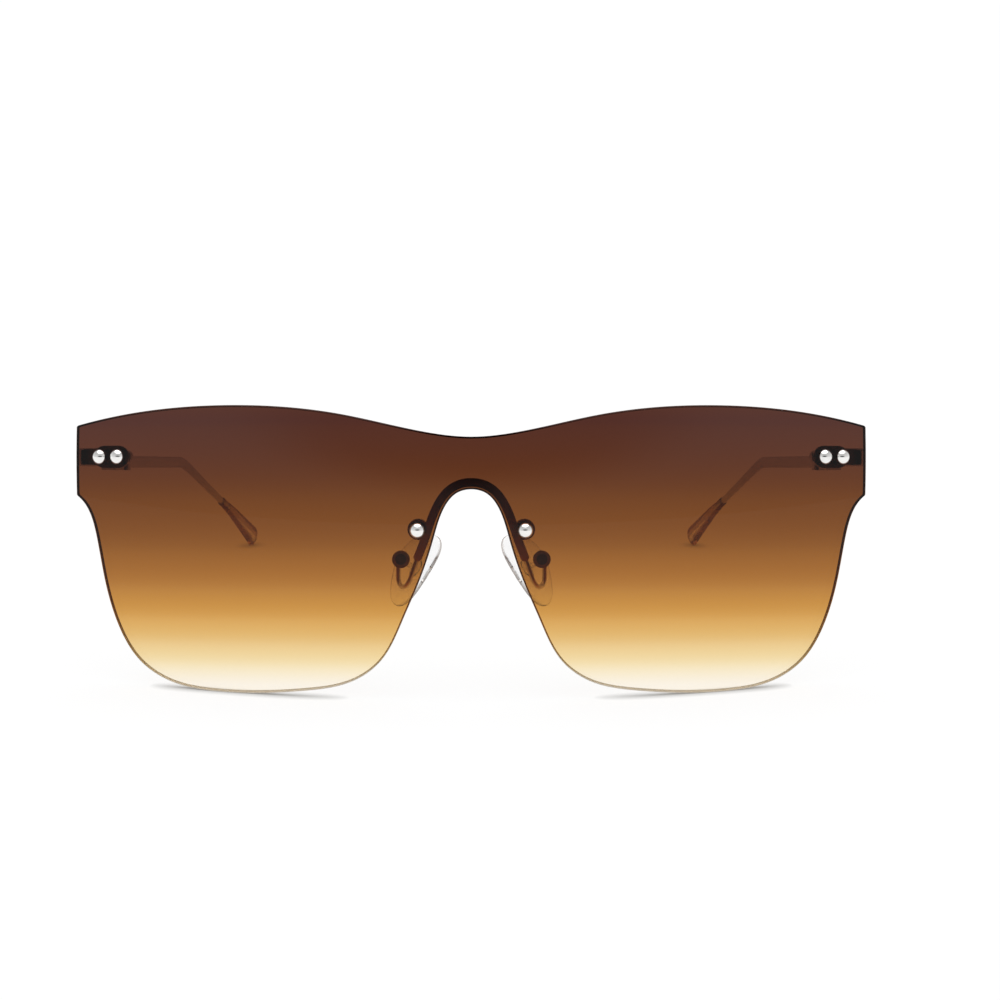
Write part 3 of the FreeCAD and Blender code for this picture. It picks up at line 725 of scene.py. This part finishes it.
@dataclass
class ShieldLens:
    """The one lens across both eyes: a spherical shell cut to an outline, with six holes.

    Heights are from the line of the temple screws. Points of the side are given by their distance
    in from the side, and points of the nose by their distance out from the middle. The draws say how
    much of the way to the sphere's centre the edge leans in, across the lens and upwards.
    """

    wearer: WearerFrame
    width: float = 146.6
    radius: float = 150.0
    thickness: float = 2.0
    corner: float = 0.5
    side_draw: float = 0.46
    edge_draw: float = 0.66
    edge_round: float = 0.3
    side_top: float = 5.8
    side_bottom: float = -7.15
    brow_centre: float = 3.4
    brow_side: Pairs = ((12.2, 8.2), (29.6, 9.3))
    brow_nose: Pairs = ((23.4, 7.5), (9.0, 4.4))
    lobe_side: Pairs = ((2.3, -9.8), (4.0, -15.4), (5.35, -22.8), (7.4, -30.2), (11.6, -37.6),
                        (17.4, -41.5), (25.6, -43.2))
    lobe_nose: Pairs = ((30.0, -42.9), (21.9, -41.2), (16.5, -37.35), (12.4, -29.7), (9.3, -22.4),
                        (6.9, -15.2), (5.1, -9.8))
    nose_arch: Pairs = ((2.6, -6.75), (0.0, -6.1))
    hole: float = 1.96
    hole_steps: int = 40
    columns: int = 640
    rows: int = 22
    edge_row: float = 0.006
    round_steps: int = 4
    corner_steps: int = 24
    curve_steps: int = 3000
    sharp: float = 40.0

    @property
    def half(self) -> float:
        """Half the width."""
        return self.width / 2

    @staticmethod
    def edge_depth(width: float, radius: float) -> float:
        """How far the side of a lens lies behind its middle."""
        return radius - math.sqrt(radius ** 2 - (width / 2) ** 2)

    def on_plane(self, points: np.ndarray) -> np.ndarray:
        """Pairs x, z of the lens front on the plane at its middle: the pairs times radius over depth."""
        depth = np.sqrt(self.radius ** 2 - (points ** 2).sum(-1, keepdims=True))
        return points * self.radius / depth

    def on_shell(self, plane: np.ndarray, radius: np.ndarray | float) -> np.ndarray:
        """Points at a radius from the sphere's centre, behind the lens front.

        A ray from the centre through a pair on the plane gives the point's x and z where it crosses the
        front. Each is drawn in by its share of the way to where the ray crosses the radius, and y follows
        from the radius. So the lens's sides lean in a little, and its bottom stays out of the floor.

        Args:
            plane: pairs on the plane.
            radius: distance from the sphere's centre, one for all or one for each.

        Returns:
            Points in the wearer's frame.
        """
        stretch = np.sqrt(self.radius ** 2 + (plane ** 2).sum(-1))
        x = plane[..., 0] / stretch * (self.radius + (radius - self.radius) * self.side_draw)
        z = plane[..., 1] / stretch * (self.radius + (radius - self.radius) * self.edge_draw)
        return np.stack([x, self.radius - np.sqrt(radius ** 2 - x ** 2 - z ** 2), z], axis=-1)

    def half_line(self, corner: float, sides: Pairs, noses: Pairs) -> np.ndarray:
        """Points of the brow or the lower edge on the plane, from the right corner to the left one.

        Args:
            corner: height of the corner.
            sides: points measured in from the side.
            noses: points measured out from the middle, the last one on it.

        Returns:
            Pairs on the plane.
        """
        inset = np.array(sides) * (-1, 1) + (self.half, 0)
        left = np.concatenate([[(self.half, corner)], inset, noses])
        right = left * (-1, 1)
        return self.on_plane(np.concatenate([right, left[-2::-1]]))

    def rounded(self, line: np.ndarray, other: np.ndarray) -> np.ndarray:
        """An edge line whose two corners are rounded into the straight sides.

        Each corner is the curve (1-t)^2 a + 2 t (1-t) c + t^2 b from a on the side to b on the line,
        with the old corner c as its pull.

        Args:
            line: the smooth line, from side to side.
            other: the opposite line, whose ends close the sides.

        Returns:
            The line with both corners rounded.
        """
        along = lengths_along(line)
        keep = (along > self.corner) & (along < along[-1] - self.corner)
        share = np.linspace(0, 1, self.corner_steps)[:, None]
        ends = []
        for at in (0, -1):
            pull = line[at]
            on_side = pull + unit(other[at] - pull) * self.corner
            on_line = line[keep][at]
            ends.append((1 - share) ** 2 * on_side + 2 * share * (1 - share) * pull + share ** 2 * on_line)
        return np.concatenate([ends[0], line[keep][1:-1], ends[1][::-1]])

    def outline(self) -> tuple[np.ndarray, np.ndarray]:
        """The lower edge and the brow on the plane, on shared columns from right to left.

        Columns are spread so that the two edges' lengths, added up, grow evenly from one to the next.

        Returns:
            The lower and the upper end of each column.
        """
        brow_nose = self.brow_nose + ((0.0, self.brow_centre),)
        lobe_nose = self.lobe_nose + self.nose_arch
        brow = smooth_curve(self.half_line(self.side_top, self.brow_side, brow_nose), self.curve_steps)
        lower = smooth_curve(self.half_line(self.side_bottom, self.lobe_side, lobe_nose), self.curve_steps)
        low, high = self.rounded(lower, brow), self.rounded(brow, lower)
        places = np.union1d(low[:, 0], high[:, 0])
        spread = np.interp(places, low[:, 0], lengths_along(low))
        spread += np.interp(places, high[:, 0], lengths_along(high))
        x = np.interp(np.linspace(0, spread[-1], self.columns), spread, places)
        return (np.stack([x, np.interp(x, low[:, 0], low[:, 1])], axis=1),
                np.stack([x, np.interp(x, high[:, 0], high[:, 1])], axis=1))

    @staticmethod
    def loop_numbers(grid: np.ndarray) -> np.ndarray:
        """Numbers round a grid's border, along the lower edge, up the left side and back over the brow."""
        return np.concatenate([grid[0], grid[1:-1, -1], grid[-1, ::-1], grid[-2:0:-1, 0]])

    def shell(self) -> tuple[np.ndarray, np.ndarray, np.ndarray]:
        """The lens as a closed surface.

        The front and the back are grids of columns from the lower edge to the brow, set in from the
        outline by the edge's rounding. The rim is the outline carried round a profile of two quarter
        circles of that radius with a straight flank between them.

        Returns:
            Vertices, faces, and for each face whether it belongs to the rim.
        """
        low, high = self.outline()
        inner = np.linspace(self.edge_row, 1 - self.edge_row, self.rows)
        share = np.concatenate([[0.0], inner, [1.0]])[:, None, None]
        plane = low + (high - low) * share
        grid = np.arange(plane[..., 0].size).reshape(plane.shape[:2])
        loop = self.loop_numbers(grid)
        rim = plane.reshape(-1, 2)[loop]
        outward = outward_normals(rim)
        inset = plane.reshape(-1, 2).copy()
        inset[loop] -= outward * self.edge_round
        back_radius = self.radius - self.thickness
        front = self.on_shell(inset, self.radius)
        back = self.on_shell(inset, back_radius)
        turn = np.linspace(0, math.pi / 2, self.round_steps + 1)[1:]
        inward = self.edge_round * (1 - np.sin(turn))
        drop = self.edge_round * (1 - np.cos(turn))
        insets = np.concatenate([inward, inward[::-1]])[:, None, None]
        radii = np.concatenate([self.radius - drop, back_radius + drop[::-1]])[:, None]
        flank = self.on_shell(rim - outward * insets, radii + np.zeros(len(rim)))
        count = len(front)
        points = np.concatenate([front, back, flank.reshape(-1, 3)])
        flank_numbers = 2 * count + np.arange(flank[..., 0].size).reshape(flank.shape[:2])
        rim_numbers = np.concatenate([loop[None], flank_numbers, count + loop[None]])
        faces = [strip_faces(grid, closed=False), strip_faces(grid + count, closed=False)[:, ::-1]]
        faces.append(strip_faces(rim_numbers, closed=True)[:, ::-1])
        edge = np.repeat((False, False, True), [len(part) for part in faces])
        return points, np.concatenate(faces), edge

    def drill(self, lens: Object, centres: np.ndarray) -> None:
        """Cuts the screw holes along the rays through the screws.

        Args:
            lens: the lens without holes.
            centres: a point on each screw's line, in the wearer's frame.
        """
        rays = unit(centres - (0, self.radius, 0))
        ends = (self.radius - 2 * self.thickness, self.radius + self.thickness)
        drills = []
        for ray, circle in zip(rays, circles(rays, self.hole_steps) * self.hole / 2):
            rods = [circle + ray * reach + (0, self.radius, 0) for reach in ends]
            drills.append(tube(np.array(rods)))
        cutter = new_piece("lens_drills", *together(drills), self.wearer)
        cut = lens.modifiers.new("holes", "BOOLEAN")
        cut.object = cutter
        cut.solver = "EXACT"
        graph = bpy.context.evaluated_depsgraph_get()
        drilled = bpy.data.meshes.new_from_object(lens.evaluated_get(graph))
        lens.modifiers.clear()
        old = lens.data
        lens.data = drilled
        bpy.data.meshes.remove(old)
        bpy.data.objects.remove(cutter)

    def build(self, centres: np.ndarray) -> Object:
        """Builds the lens with its dyed faces, a ground rim darkened further as painted shade, and drilled
        holes. It rides on the front.

        Args:
            centres: a point on each screw's line, in the wearer's frame.

        Returns:
            The lens.
        """
        points, faces, edge = self.shell()
        lens = new_piece("lens_shell", points, faces, self.wearer)
        # The rim's faces take the darker finish, painted shade for the rim's dark line
        two_finishes(lens, BROWN_DYE.material(self.wearer), DYED_EDGE_AND_SHADE.material(self.wearer), edge)
        self.drill(lens, centres)
        lens.data.set_sharp_from_angle(angle=math.radians(self.sharp))
        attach(lens, "front")
        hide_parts("shield_lens")
        return lens


@dataclass
class LensScrews:
    """The six dome-head screws, each on a ray of the lens."""

    wearer: WearerFrame
    lens: ShieldLens
    head: float = 2.8
    dome: float = 0.95
    lip: float = 0.08
    lip_bulge: float = 0.3
    shank: float = 1.2
    gap: float = 0.6
    tail: float = 4.9
    steps: int = 48
    dome_steps: int = 18
    dome_stop: float = 0.02
    digits: int = 3
    sharp: float = 50.0

    def centres(self) -> np.ndarray:
        """A point on each screw's line: the middle of each clump of vertices, parted by bare arc.

        Returns:
            Six points in the wearer's frame, from right to left.
        """
        points = np.unique(node_points("lens_screws", self.wearer).round(self.digits), axis=0)
        arc = np.arctan2(points[:, 0], self.lens.radius - points[:, 1]) * self.lens.radius
        order = np.argsort(arc)
        splits = np.flatnonzero(np.diff(arc[order]) > self.gap) + 1
        return np.array([clump.mean(0) for clump in np.split(points[order], splits)])

    def profile(self) -> np.ndarray:
        """Radius and height of the screw's outline, from its tail to the top of its dome.

        The dome is an arc through the rim and the top: a circle of radius (r^2 + d^2) / 2d.

        Returns:
            Pairs of radius and height over the lens.
        """
        half = self.head / 2
        ball = (half ** 2 + self.dome ** 2) / (2 * self.dome)
        widest = math.asin(half / ball)
        turn = np.linspace(widest, self.dome_stop, self.dome_steps)
        arc = np.stack([ball * np.sin(turn), ball * np.cos(turn) - ball + self.dome], axis=1)
        bulge = self.lip * self.lip_bulge
        shank = self.shank / 2
        foot = ((shank, -self.tail), (shank, 0.0), (half - self.lip, 0.0), (half - bulge, bulge))
        return np.concatenate([foot, arc[arc[:, 1] > self.lip]])

    def build(self) -> Object:
        """Turns the profile round each ray. The piece rides on the front and stands for the node.

        Returns:
            The six screws as one piece.
        """
        centre = np.array((0, self.lens.radius, 0))
        rays = unit(self.centres() - centre)
        radius, height = self.profile().T
        along = rays[:, None] * (self.lens.radius + height)[None, :, None] + centre
        rings = along[:, :, None] + circles(rays, self.steps)[:, None] * radius[None, :, None, None]
        screws = new_piece("dome_screws", *together([tube(stack) for stack in rings]), self.wearer)
        screws.data.materials.append(POLISHED_DOME.material())
        screws.data.set_sharp_from_angle(angle=math.radians(self.sharp))
        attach(screws, "front")
        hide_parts("lens_screws")
        return screws


@dataclass
class NosePad:
    """A clear nose pad, straight towards the nose and round on its other side, moulded round its core."""

    wearer: WearerFrame
    side: Side
    thickness: float = 1.8
    lean: float = 32.8
    turn: float = 47.0
    offset: float = 3.3
    setback: float = 3.4
    edge_round: float = 0.42
    crown: float = 0.45
    flank: float = 0.15
    cavity: float = 2.2
    around: int = 120
    face_rings: int = 9
    edge_rings: int = 17
    line_rings: int = 3

    def axes(self) -> tuple[np.ndarray, np.ndarray, np.ndarray, np.ndarray]:
        """The left pad's middle and its directions across, along and out of its face.

        Returns:
            The middle and three unit vectors.
        """
        box = self.wearer.joint_place("left_pad_rock")
        cosine, sine = turned(self.lean)
        inward = np.array((-cosine, 0, -sine))
        back = np.array((0, 1.0, 0))
        along = np.array((-sine, 0, cosine))
        cosine, sine = turned(self.turn)
        normal = inward * cosine + back * sine
        middle = box + inward * self.offset + back * self.setback
        return middle, np.cross(along, normal), along, normal

    def rim(self) -> np.ndarray:
        """The solid's rim on the pad's middle plane.

        The solid's vertices near that plane, outside the core's cavity, give the rim's reach over its
        bearing a from the pad's middle, which is read off at even bearings.

        Returns:
            Pairs across and along the pad, round the rim.
        """
        middle, *axes = self.axes()
        local = (node_points("left_nose_pad", self.wearer) - middle) @ np.array(axes).T
        reach = np.hypot(local[:, 0], local[:, 1])
        near = (np.abs(local[:, 2]) < self.flank) & (reach > self.cavity)
        a = np.linspace(0, 2 * math.pi, self.around, endpoint=False)
        bearing = np.arctan2(local[near, 1], local[near, 0])
        even = np.interp(a, bearing, reach[near], period=2 * math.pi)
        return np.stack([even * np.cos(a), even * np.sin(a)], axis=1)

    def rings(self) -> np.ndarray:
        """The pad's skin, from the middle of its back face round the rim to the middle of its front face.

        On a face the inset rim is scaled by s from 0 to 1, at a height of half the thickness less
        crown s^2. Round the edge the rim is set in by edge_round (1 - cos f), at a height of the face's
        edge times sin f, for f from -90 to 90 degrees.

        Returns:
            Points by ring and place on the ring.
        """
        middle, *axes = self.axes()
        rim = self.rim()
        s = np.linspace(0, 1, self.face_rings + 2)[1:-1]
        f = np.linspace(-math.pi / 2, math.pi / 2, self.edge_rings)
        face = self.thickness / 2 - self.crown * s ** 2
        edge = (self.thickness / 2 - self.crown) * np.sin(f)
        full = np.ones_like(s)
        scale = np.concatenate([s, np.ones_like(f), s[::-1]])[:, None, None]
        inset = np.concatenate([full, 1 - np.cos(f), full])[:, None, None] * self.edge_round
        height = np.concatenate([-face, edge, face[::-1]])[:, None, None]
        flat = scale * (rim - outward_normals(rim) * inset)
        level = np.broadcast_to(height, flat.shape[:2] + (1,))
        return middle + np.concatenate([flat, level], axis=2) @ np.array(axes)

    def build(self) -> Object:
        """Builds the pad, which rides on its rocking body and stands for the soft solid.

        The faces within a few rings of the rim's middle have a darker finish, painted shade for the
        outline that the pad's rounded edge shows.

        Returns:
            The pad.
        """
        rings = self.rings()
        points, faces = mirrored(*tube(rings), self.side)
        pad = new_piece(self.side.label + "_pad_silicone", points, faces, self.wearer)
        # Faces near the rim's middle, which get the painted outline shade
        from_middle = np.abs(np.arange(len(rings) + 1) - len(rings) / 2)
        on_line = np.repeat(from_middle < self.line_rings, self.around)
        two_finishes(pad, CLEAR_SILICONE.material(), SILICONE_RIM_SHADE.material(), on_line)
        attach(pad, self.side.label + "_pad")
        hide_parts(self.side.label + "_nose_pad")
        return pad


@dataclass
class EarTip:
    """A clear ear tip: a round sleeve over the core wire, which widens to an upright paddle."""

    wearer: WearerFrame
    side: Side
    temple_length: float = 93.0
    toe_in: float = 3.6
    rise: float = 0.6
    stand_off: float = 3.1
    wire_run: float = 20.5
    ear_run: float = 26.7
    ear_inward: float = 21.8
    ear_drop: float = 24.0
    end_run: float = 13.2
    end_inward: float = 20.5
    end_drop: float = 27.0
    end_bend: float = 30.0
    sleeve: float = 1.8
    sleeve_run: float = 22.5
    paddle_height: float = 4.8
    paddle_thickness: float = 2.2
    end_round: float = 1.2
    end_stop: float = 0.999
    lip: float = 0.25
    edge_top: float = 0.3
    edge_bottom: float = 0.75
    around: int = 48
    bend_steps: int = 24
    step: float = 0.2

    @staticmethod
    def heading(inward: float, drop: float) -> np.ndarray:
        """A direction back along the left temple.

        Args:
            inward: degrees that it turns towards the head.
            drop: degrees that it drops.

        Returns:
            A unit vector in the wearer's frame.
        """
        side_cos, side_sin = turned(inward)
        down_cos, down_sin = turned(drop)
        return np.array((-side_sin * down_cos, side_cos * down_cos, -down_sin))

    def knees(self) -> np.ndarray:
        """Corners of the left tip's middle line, reached from the hinge along the temple.

        Returns:
            The start, the bend and the end of the line.
        """
        hinge = self.wearer.joint_place("left_temple_fold")
        level = self.heading(self.toe_in, 0)
        ear = self.heading(self.ear_inward, self.ear_drop)
        corner = hinge + np.array((level[1], -level[0], 0)) * self.stand_off
        corner = corner + self.heading(self.toe_in, -self.rise) * self.temple_length
        bend = corner + ear * self.ear_run
        return np.array((corner + ear * self.wire_run, bend,
                         bend + self.heading(self.end_inward, self.end_drop) * self.end_run))

    def line(self) -> np.ndarray:
        """The tip's middle line: two straight runs with a tangent arc in the bend.

        A bend of radius r that turns by w starts r tan(w/2) before its corner. Its points are
        p + u r (1 - cos f) + v r sin f for its start p, the direction u towards its centre and the
        direction v of arrival, with f from 0 to w.

        Returns:
            Points of the line.
        """
        start, corner, end = self.knees()
        arrive, leave = unit(corner - start), unit(end - corner)
        angle = math.acos(float(arrive @ leave))
        towards = unit(leave - arrive * (arrive @ leave))
        f = np.linspace(0, angle, self.bend_steps)[:, None]
        arc = corner - arrive * self.end_bend * math.tan(angle / 2)
        arc = arc + self.end_bend * (towards * (1 - np.cos(f)) + arrive * np.sin(f))
        rough = np.concatenate([[start], arc, [end]])
        along = lengths_along(rough)
        places = np.linspace(0, along[-1], int(along[-1] / self.step))
        return np.stack([np.interp(places, along, rough[:, i]) for i in range(3)], axis=1)

    def rings(self) -> np.ndarray:
        """Ellipses along the line.

        The half height and half thickness are the sleeve's up to the paddle and then grow evenly to the
        end. Over the last end_round e the height is scaled by sqrt(1 - (d/e)^2) and the thickness by the
        root of that, where d is how far the ring is into that stretch, so that the paddle ends bluntly
        round. The first ring is drawn in by a small lip.

        Returns:
            Points by ring and place on the ring.
        """
        middle = self.line()
        way = unit(np.gradient(middle, axis=0))
        upright = unit(np.array((0, 0, 1.0)) - way * way[:, 2:3])
        level = np.cross(way, upright)
        along = lengths_along(middle)
        start = self.sleeve_run - self.wire_run
        share = np.clip((along - start) / (along[-1] - start), 0, 1)
        height = (self.sleeve + (self.paddle_height - self.sleeve) * share) / 2
        thick = (self.sleeve + (self.paddle_thickness - self.sleeve) * share) / 2
        into = np.clip((along - along[-1] + self.end_round) / self.end_round, 0, self.end_stop)
        scale = np.sqrt(1 - into ** 2)
        lip = 1 - self.lip * np.clip(1 - along / self.lip, 0, 1) ** 2
        turn = np.linspace(0, 2 * math.pi, self.around, endpoint=False)
        rise = (height * scale * lip)[:, None, None] * np.cos(turn)[None, :, None] * upright[:, None]
        wide = (thick * np.sqrt(scale) * lip)[:, None, None] * np.sin(turn)[None, :, None] * level[:, None]
        return middle[:, None] + rise + wide

    def build(self) -> Object:
        """Builds the tip, which rides on its temple and stands for its node.

        The faces along its upper and lower edges have a darker finish, painted shade for the dark lines
        along a clear rod's edges.

        Returns:
            The tip.
        """
        rings = self.rings()
        points, faces = mirrored(*tube(rings), self.side)
        tip = new_piece(self.side.label + "_tip_acetate", points, faces, self.wearer)
        # Faces along the upper and lower edges, which get the painted edge shade
        upward = np.cos((np.arange(self.around) + 0.5) * 2 * math.pi / self.around)
        painted_shade_edges = np.tile((upward > self.edge_top) | (upward < -self.edge_bottom), len(rings) + 1)
        two_finishes(tip, CLEAR_ACETATE.material(), ACETATE_EDGE_SHADE.material(), painted_shade_edges)
        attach(tip, self.side.label + "_temple")
        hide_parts(self.side.label + "_temple_tip")
        return tip


@dataclass
class PlainPieces:
    """The metal and clear pieces that keep their solids and get finishes here."""

    plated: tuple[str, ...] = ("bridge_bar", "lens_nuts")
    plated_pairs: tuple[str, ...] = ("pad_arm", "pad_box", "end_piece", "hinge_front_leaf",
                                     "hinge_temple_leaf", "temple")
    blackened: tuple[str, ...] = ("pad_screws", "hinge_screws")
    clear: tuple[str, ...] = ("lens_bushes",)
    clear_pairs: tuple[str, ...] = ("pad_core",)

    @staticmethod
    def both(names: tuple[str, ...]) -> tuple[str, ...]:
        """Names of the left and the right piece of each pair."""
        return tuple(side.label + "_" + name for name in names for side in Side)

    def dress(self) -> None:
        """Gives each piece its finish."""
        groups = (
            (self.plated + self.both(self.plated_pairs), SATIN_NICKEL.material(), Slot.METAL),
            (self.blackened, BLACK_STEEL.material(), Slot.SMALL),
            (self.clear + self.both(self.clear_pairs), CLEAR_NYLON.material(), Slot.BUSH),
        )
        for names, material, slot in groups:
            for name in names:
                node = frame["nodes"][name]
                node.data.materials.clear()
                node.data.materials.append(material)
                LOG.info("dressed %s as %s", name, material.name)


@dataclass
class Studio:
    """Plain pale floor, soft light and the camera.

    The floor's half width, the reach of its painted contact shade and the camera's near and far ends are
    in metres. The fades and the patch are on the unit sphere of directions.
    """

    wearer: WearerFrame
    floor_half: float = 12.0
    floor_grey: float = 0.85
    floor_shade: float = 0.14
    contact_reach: float = 0.0028
    contact_shade: float = 0.2
    sky: float = 0.75
    dark: float = 0.05
    patch_up: float = 0.25
    patch_size: tuple[float, float] = (0.62, 0.17)
    patch_fade: tuple[float, float] = (0.5, 1.15)
    front_fade: tuple[float, float] = (-0.3, -0.1)
    sky_fade: tuple[float, float] = (0.0, 0.6)
    eye: Triple = (1.04, -600.0, -8.44)
    aim_left: float = 0.394
    aim_up: float = 0.041
    lens: float = 119.98
    near: float = 0.01
    far: float = 100.0
    lamp_spread: float = 70.0
    lamp_power: float = 1.6

    def floor(self) -> None:
        """A wide floor seen as white by the camera, mirrors and clear pieces, with a faint shadow and
        painted contact shade.
        """
        half = self.floor_half
        points = np.array(((-half, -half, 0), (half, -half, 0), (half, half, 0), (-half, half, 0)))
        mesh = bpy.data.meshes.new("floor")
        mesh.from_pydata(points.tolist(), [], [(0, 1, 2, 3)])
        floor = linked("floor", mesh)
        graph = Graph.of_material("pale_floor")
        paint = graph.add("BsdfDiffuse", Color=(self.floor_grey, self.floor_grey, self.floor_grey, 1.0))
        # Painted contact shadow: the white glow dims where ambient occlusion finds pieces close by
        open_share = graph.add("AmbientOcclusion", Distance=self.contact_reach).outputs["AO"]
        glow_under_painted_shade = graph.between(open_share, self.contact_shade, 1.0)
        glow = graph.add("Emission", Color=WHITE, Strength=glow_under_painted_shade)
        shown = graph.add("MixShader", Fac=self.floor_shade)
        graph.feed(shown, 1, glow.outputs["Emission"])
        graph.feed(shown, 2, graph.add("BsdfDiffuse", Color=WHITE).outputs["BSDF"])
        mix = graph.add("MixShader", Fac=self.seen_ray(graph))
        graph.feed(mix, 1, paint.outputs["BSDF"])
        graph.feed(mix, 2, shown.outputs["Shader"])
        floor.data.materials.append(graph.finish(mix.outputs["Shader"]))

    @staticmethod
    def seen_ray(graph: Graph) -> NodeSocket:
        """Which rays see the floor as a picture does.

        Args:
            graph: the floor's nodes.

        Returns:
            One for the camera's rays, mirrored rays and rays through clear pieces, and zero for others.
        """
        path = graph.add("LightPath")
        either = graph.pair("MAXIMUM", path.outputs["Is Camera Ray"], path.outputs["Is Glossy Ray"])
        return graph.pair("MAXIMUM", either, path.outputs["Is Transmission Ray"])

    def world(self) -> None:
        """A pale room, as bright as the floor at the horizon, with a dim patch where the camera stands.

        The patch is an ellipse about a place over the front horizon, with half its sizes across and up
        given as parts of the unit sphere.
        """
        graph = Graph(bpy.data.worlds.new("studio"))
        place = graph.add("TexCoord").outputs["Generated"]
        split = graph.add("SeparateXYZ", Vector=place)
        wide, tall = self.patch_size
        spread = graph.add("Mapping", Vector=place, Location=(0.0, 0.0, -self.patch_up / tall),
                           Scale=(1 / wide, 0.0, 1 / tall))
        distance = graph.add("VectorMath", {"operation": "LENGTH"}, Vector=spread.outputs["Vector"])
        patch = graph.fade(distance.outputs["Value"], *self.patch_fade)
        patch = graph.pair("MULTIPLY", patch, graph.fade(split.outputs["Y"], *self.front_fade))
        room = graph.between(graph.fade(split.outputs["Z"], *self.sky_fade), self.sky, 1.0)
        lit = graph.pair("MULTIPLY", room, graph.between(patch, 1.0, self.dark))
        bpy.context.scene.world = graph.finish(graph.add("Background", Strength=lit).outputs["Background"])

    def lamps(self) -> None:
        """One wide soft lamp overhead, which lights the floor evenly."""
        lamp = bpy.data.lights.new("overhead", "SUN")
        lamp.angle = math.radians(self.lamp_spread)
        lamp.energy = self.lamp_power
        linked("overhead", lamp)

    def camera(self) -> None:
        """A long lens at the height of the eyes, level with the temples."""
        data = bpy.data.cameras.new("camera")
        data.lens = self.lens
        data.clip_start = self.near
        data.clip_end = self.far
        eye = linked("camera", data)
        left_cos, left_sin = turned(self.aim_left)
        climb = math.tan(math.radians(self.aim_up))
        ahead = self.wearer.direction((left_sin, left_cos, climb)).normalized()
        right = ahead.cross(self.wearer.direction((0, 0, 1))).normalized()
        turn = Matrix((right, right.cross(ahead), -ahead)).transposed()
        eye.location = self.wearer.to_row(np.array(self.eye))
        eye.rotation_euler = turn.to_euler()
        bpy.context.scene.camera = eye

    def build(self) -> None:
        """Sets up the floor, the room, the lamp, the camera and plain colours."""
        self.floor()
        self.world()
        self.lamps()
        self.camera()
        bpy.context.scene.view_settings.view_transform = "Standard"


def main() -> None:
    """Builds every sub-assembly, then the studio."""
    logging.basicConfig(level=logging.INFO, format="%(name)s: %(message)s")
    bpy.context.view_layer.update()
    setback = ShieldLens.edge_depth(ShieldLens.width, ShieldLens.radius) + HINGE_SETBACK
    wearer = WearerFrame.from_joints(setback, HINGE_DROP)
    lens = ShieldLens(wearer)
    screws = LensScrews(wearer, lens)
    pieces = [lens.build(screws.centres()), screws.build()]
    for side in Side:
        pieces.append(NosePad(wearer, side).build())
        pieces.append(EarTip(wearer, side).build())
    for piece in pieces:
        LOG.info("built %s with %d faces", piece.name, len(piece.data.polygons))
    PlainPieces().dress()
    Studio(wearer).build()
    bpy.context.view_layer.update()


if __name__ == "__main__":
    main()
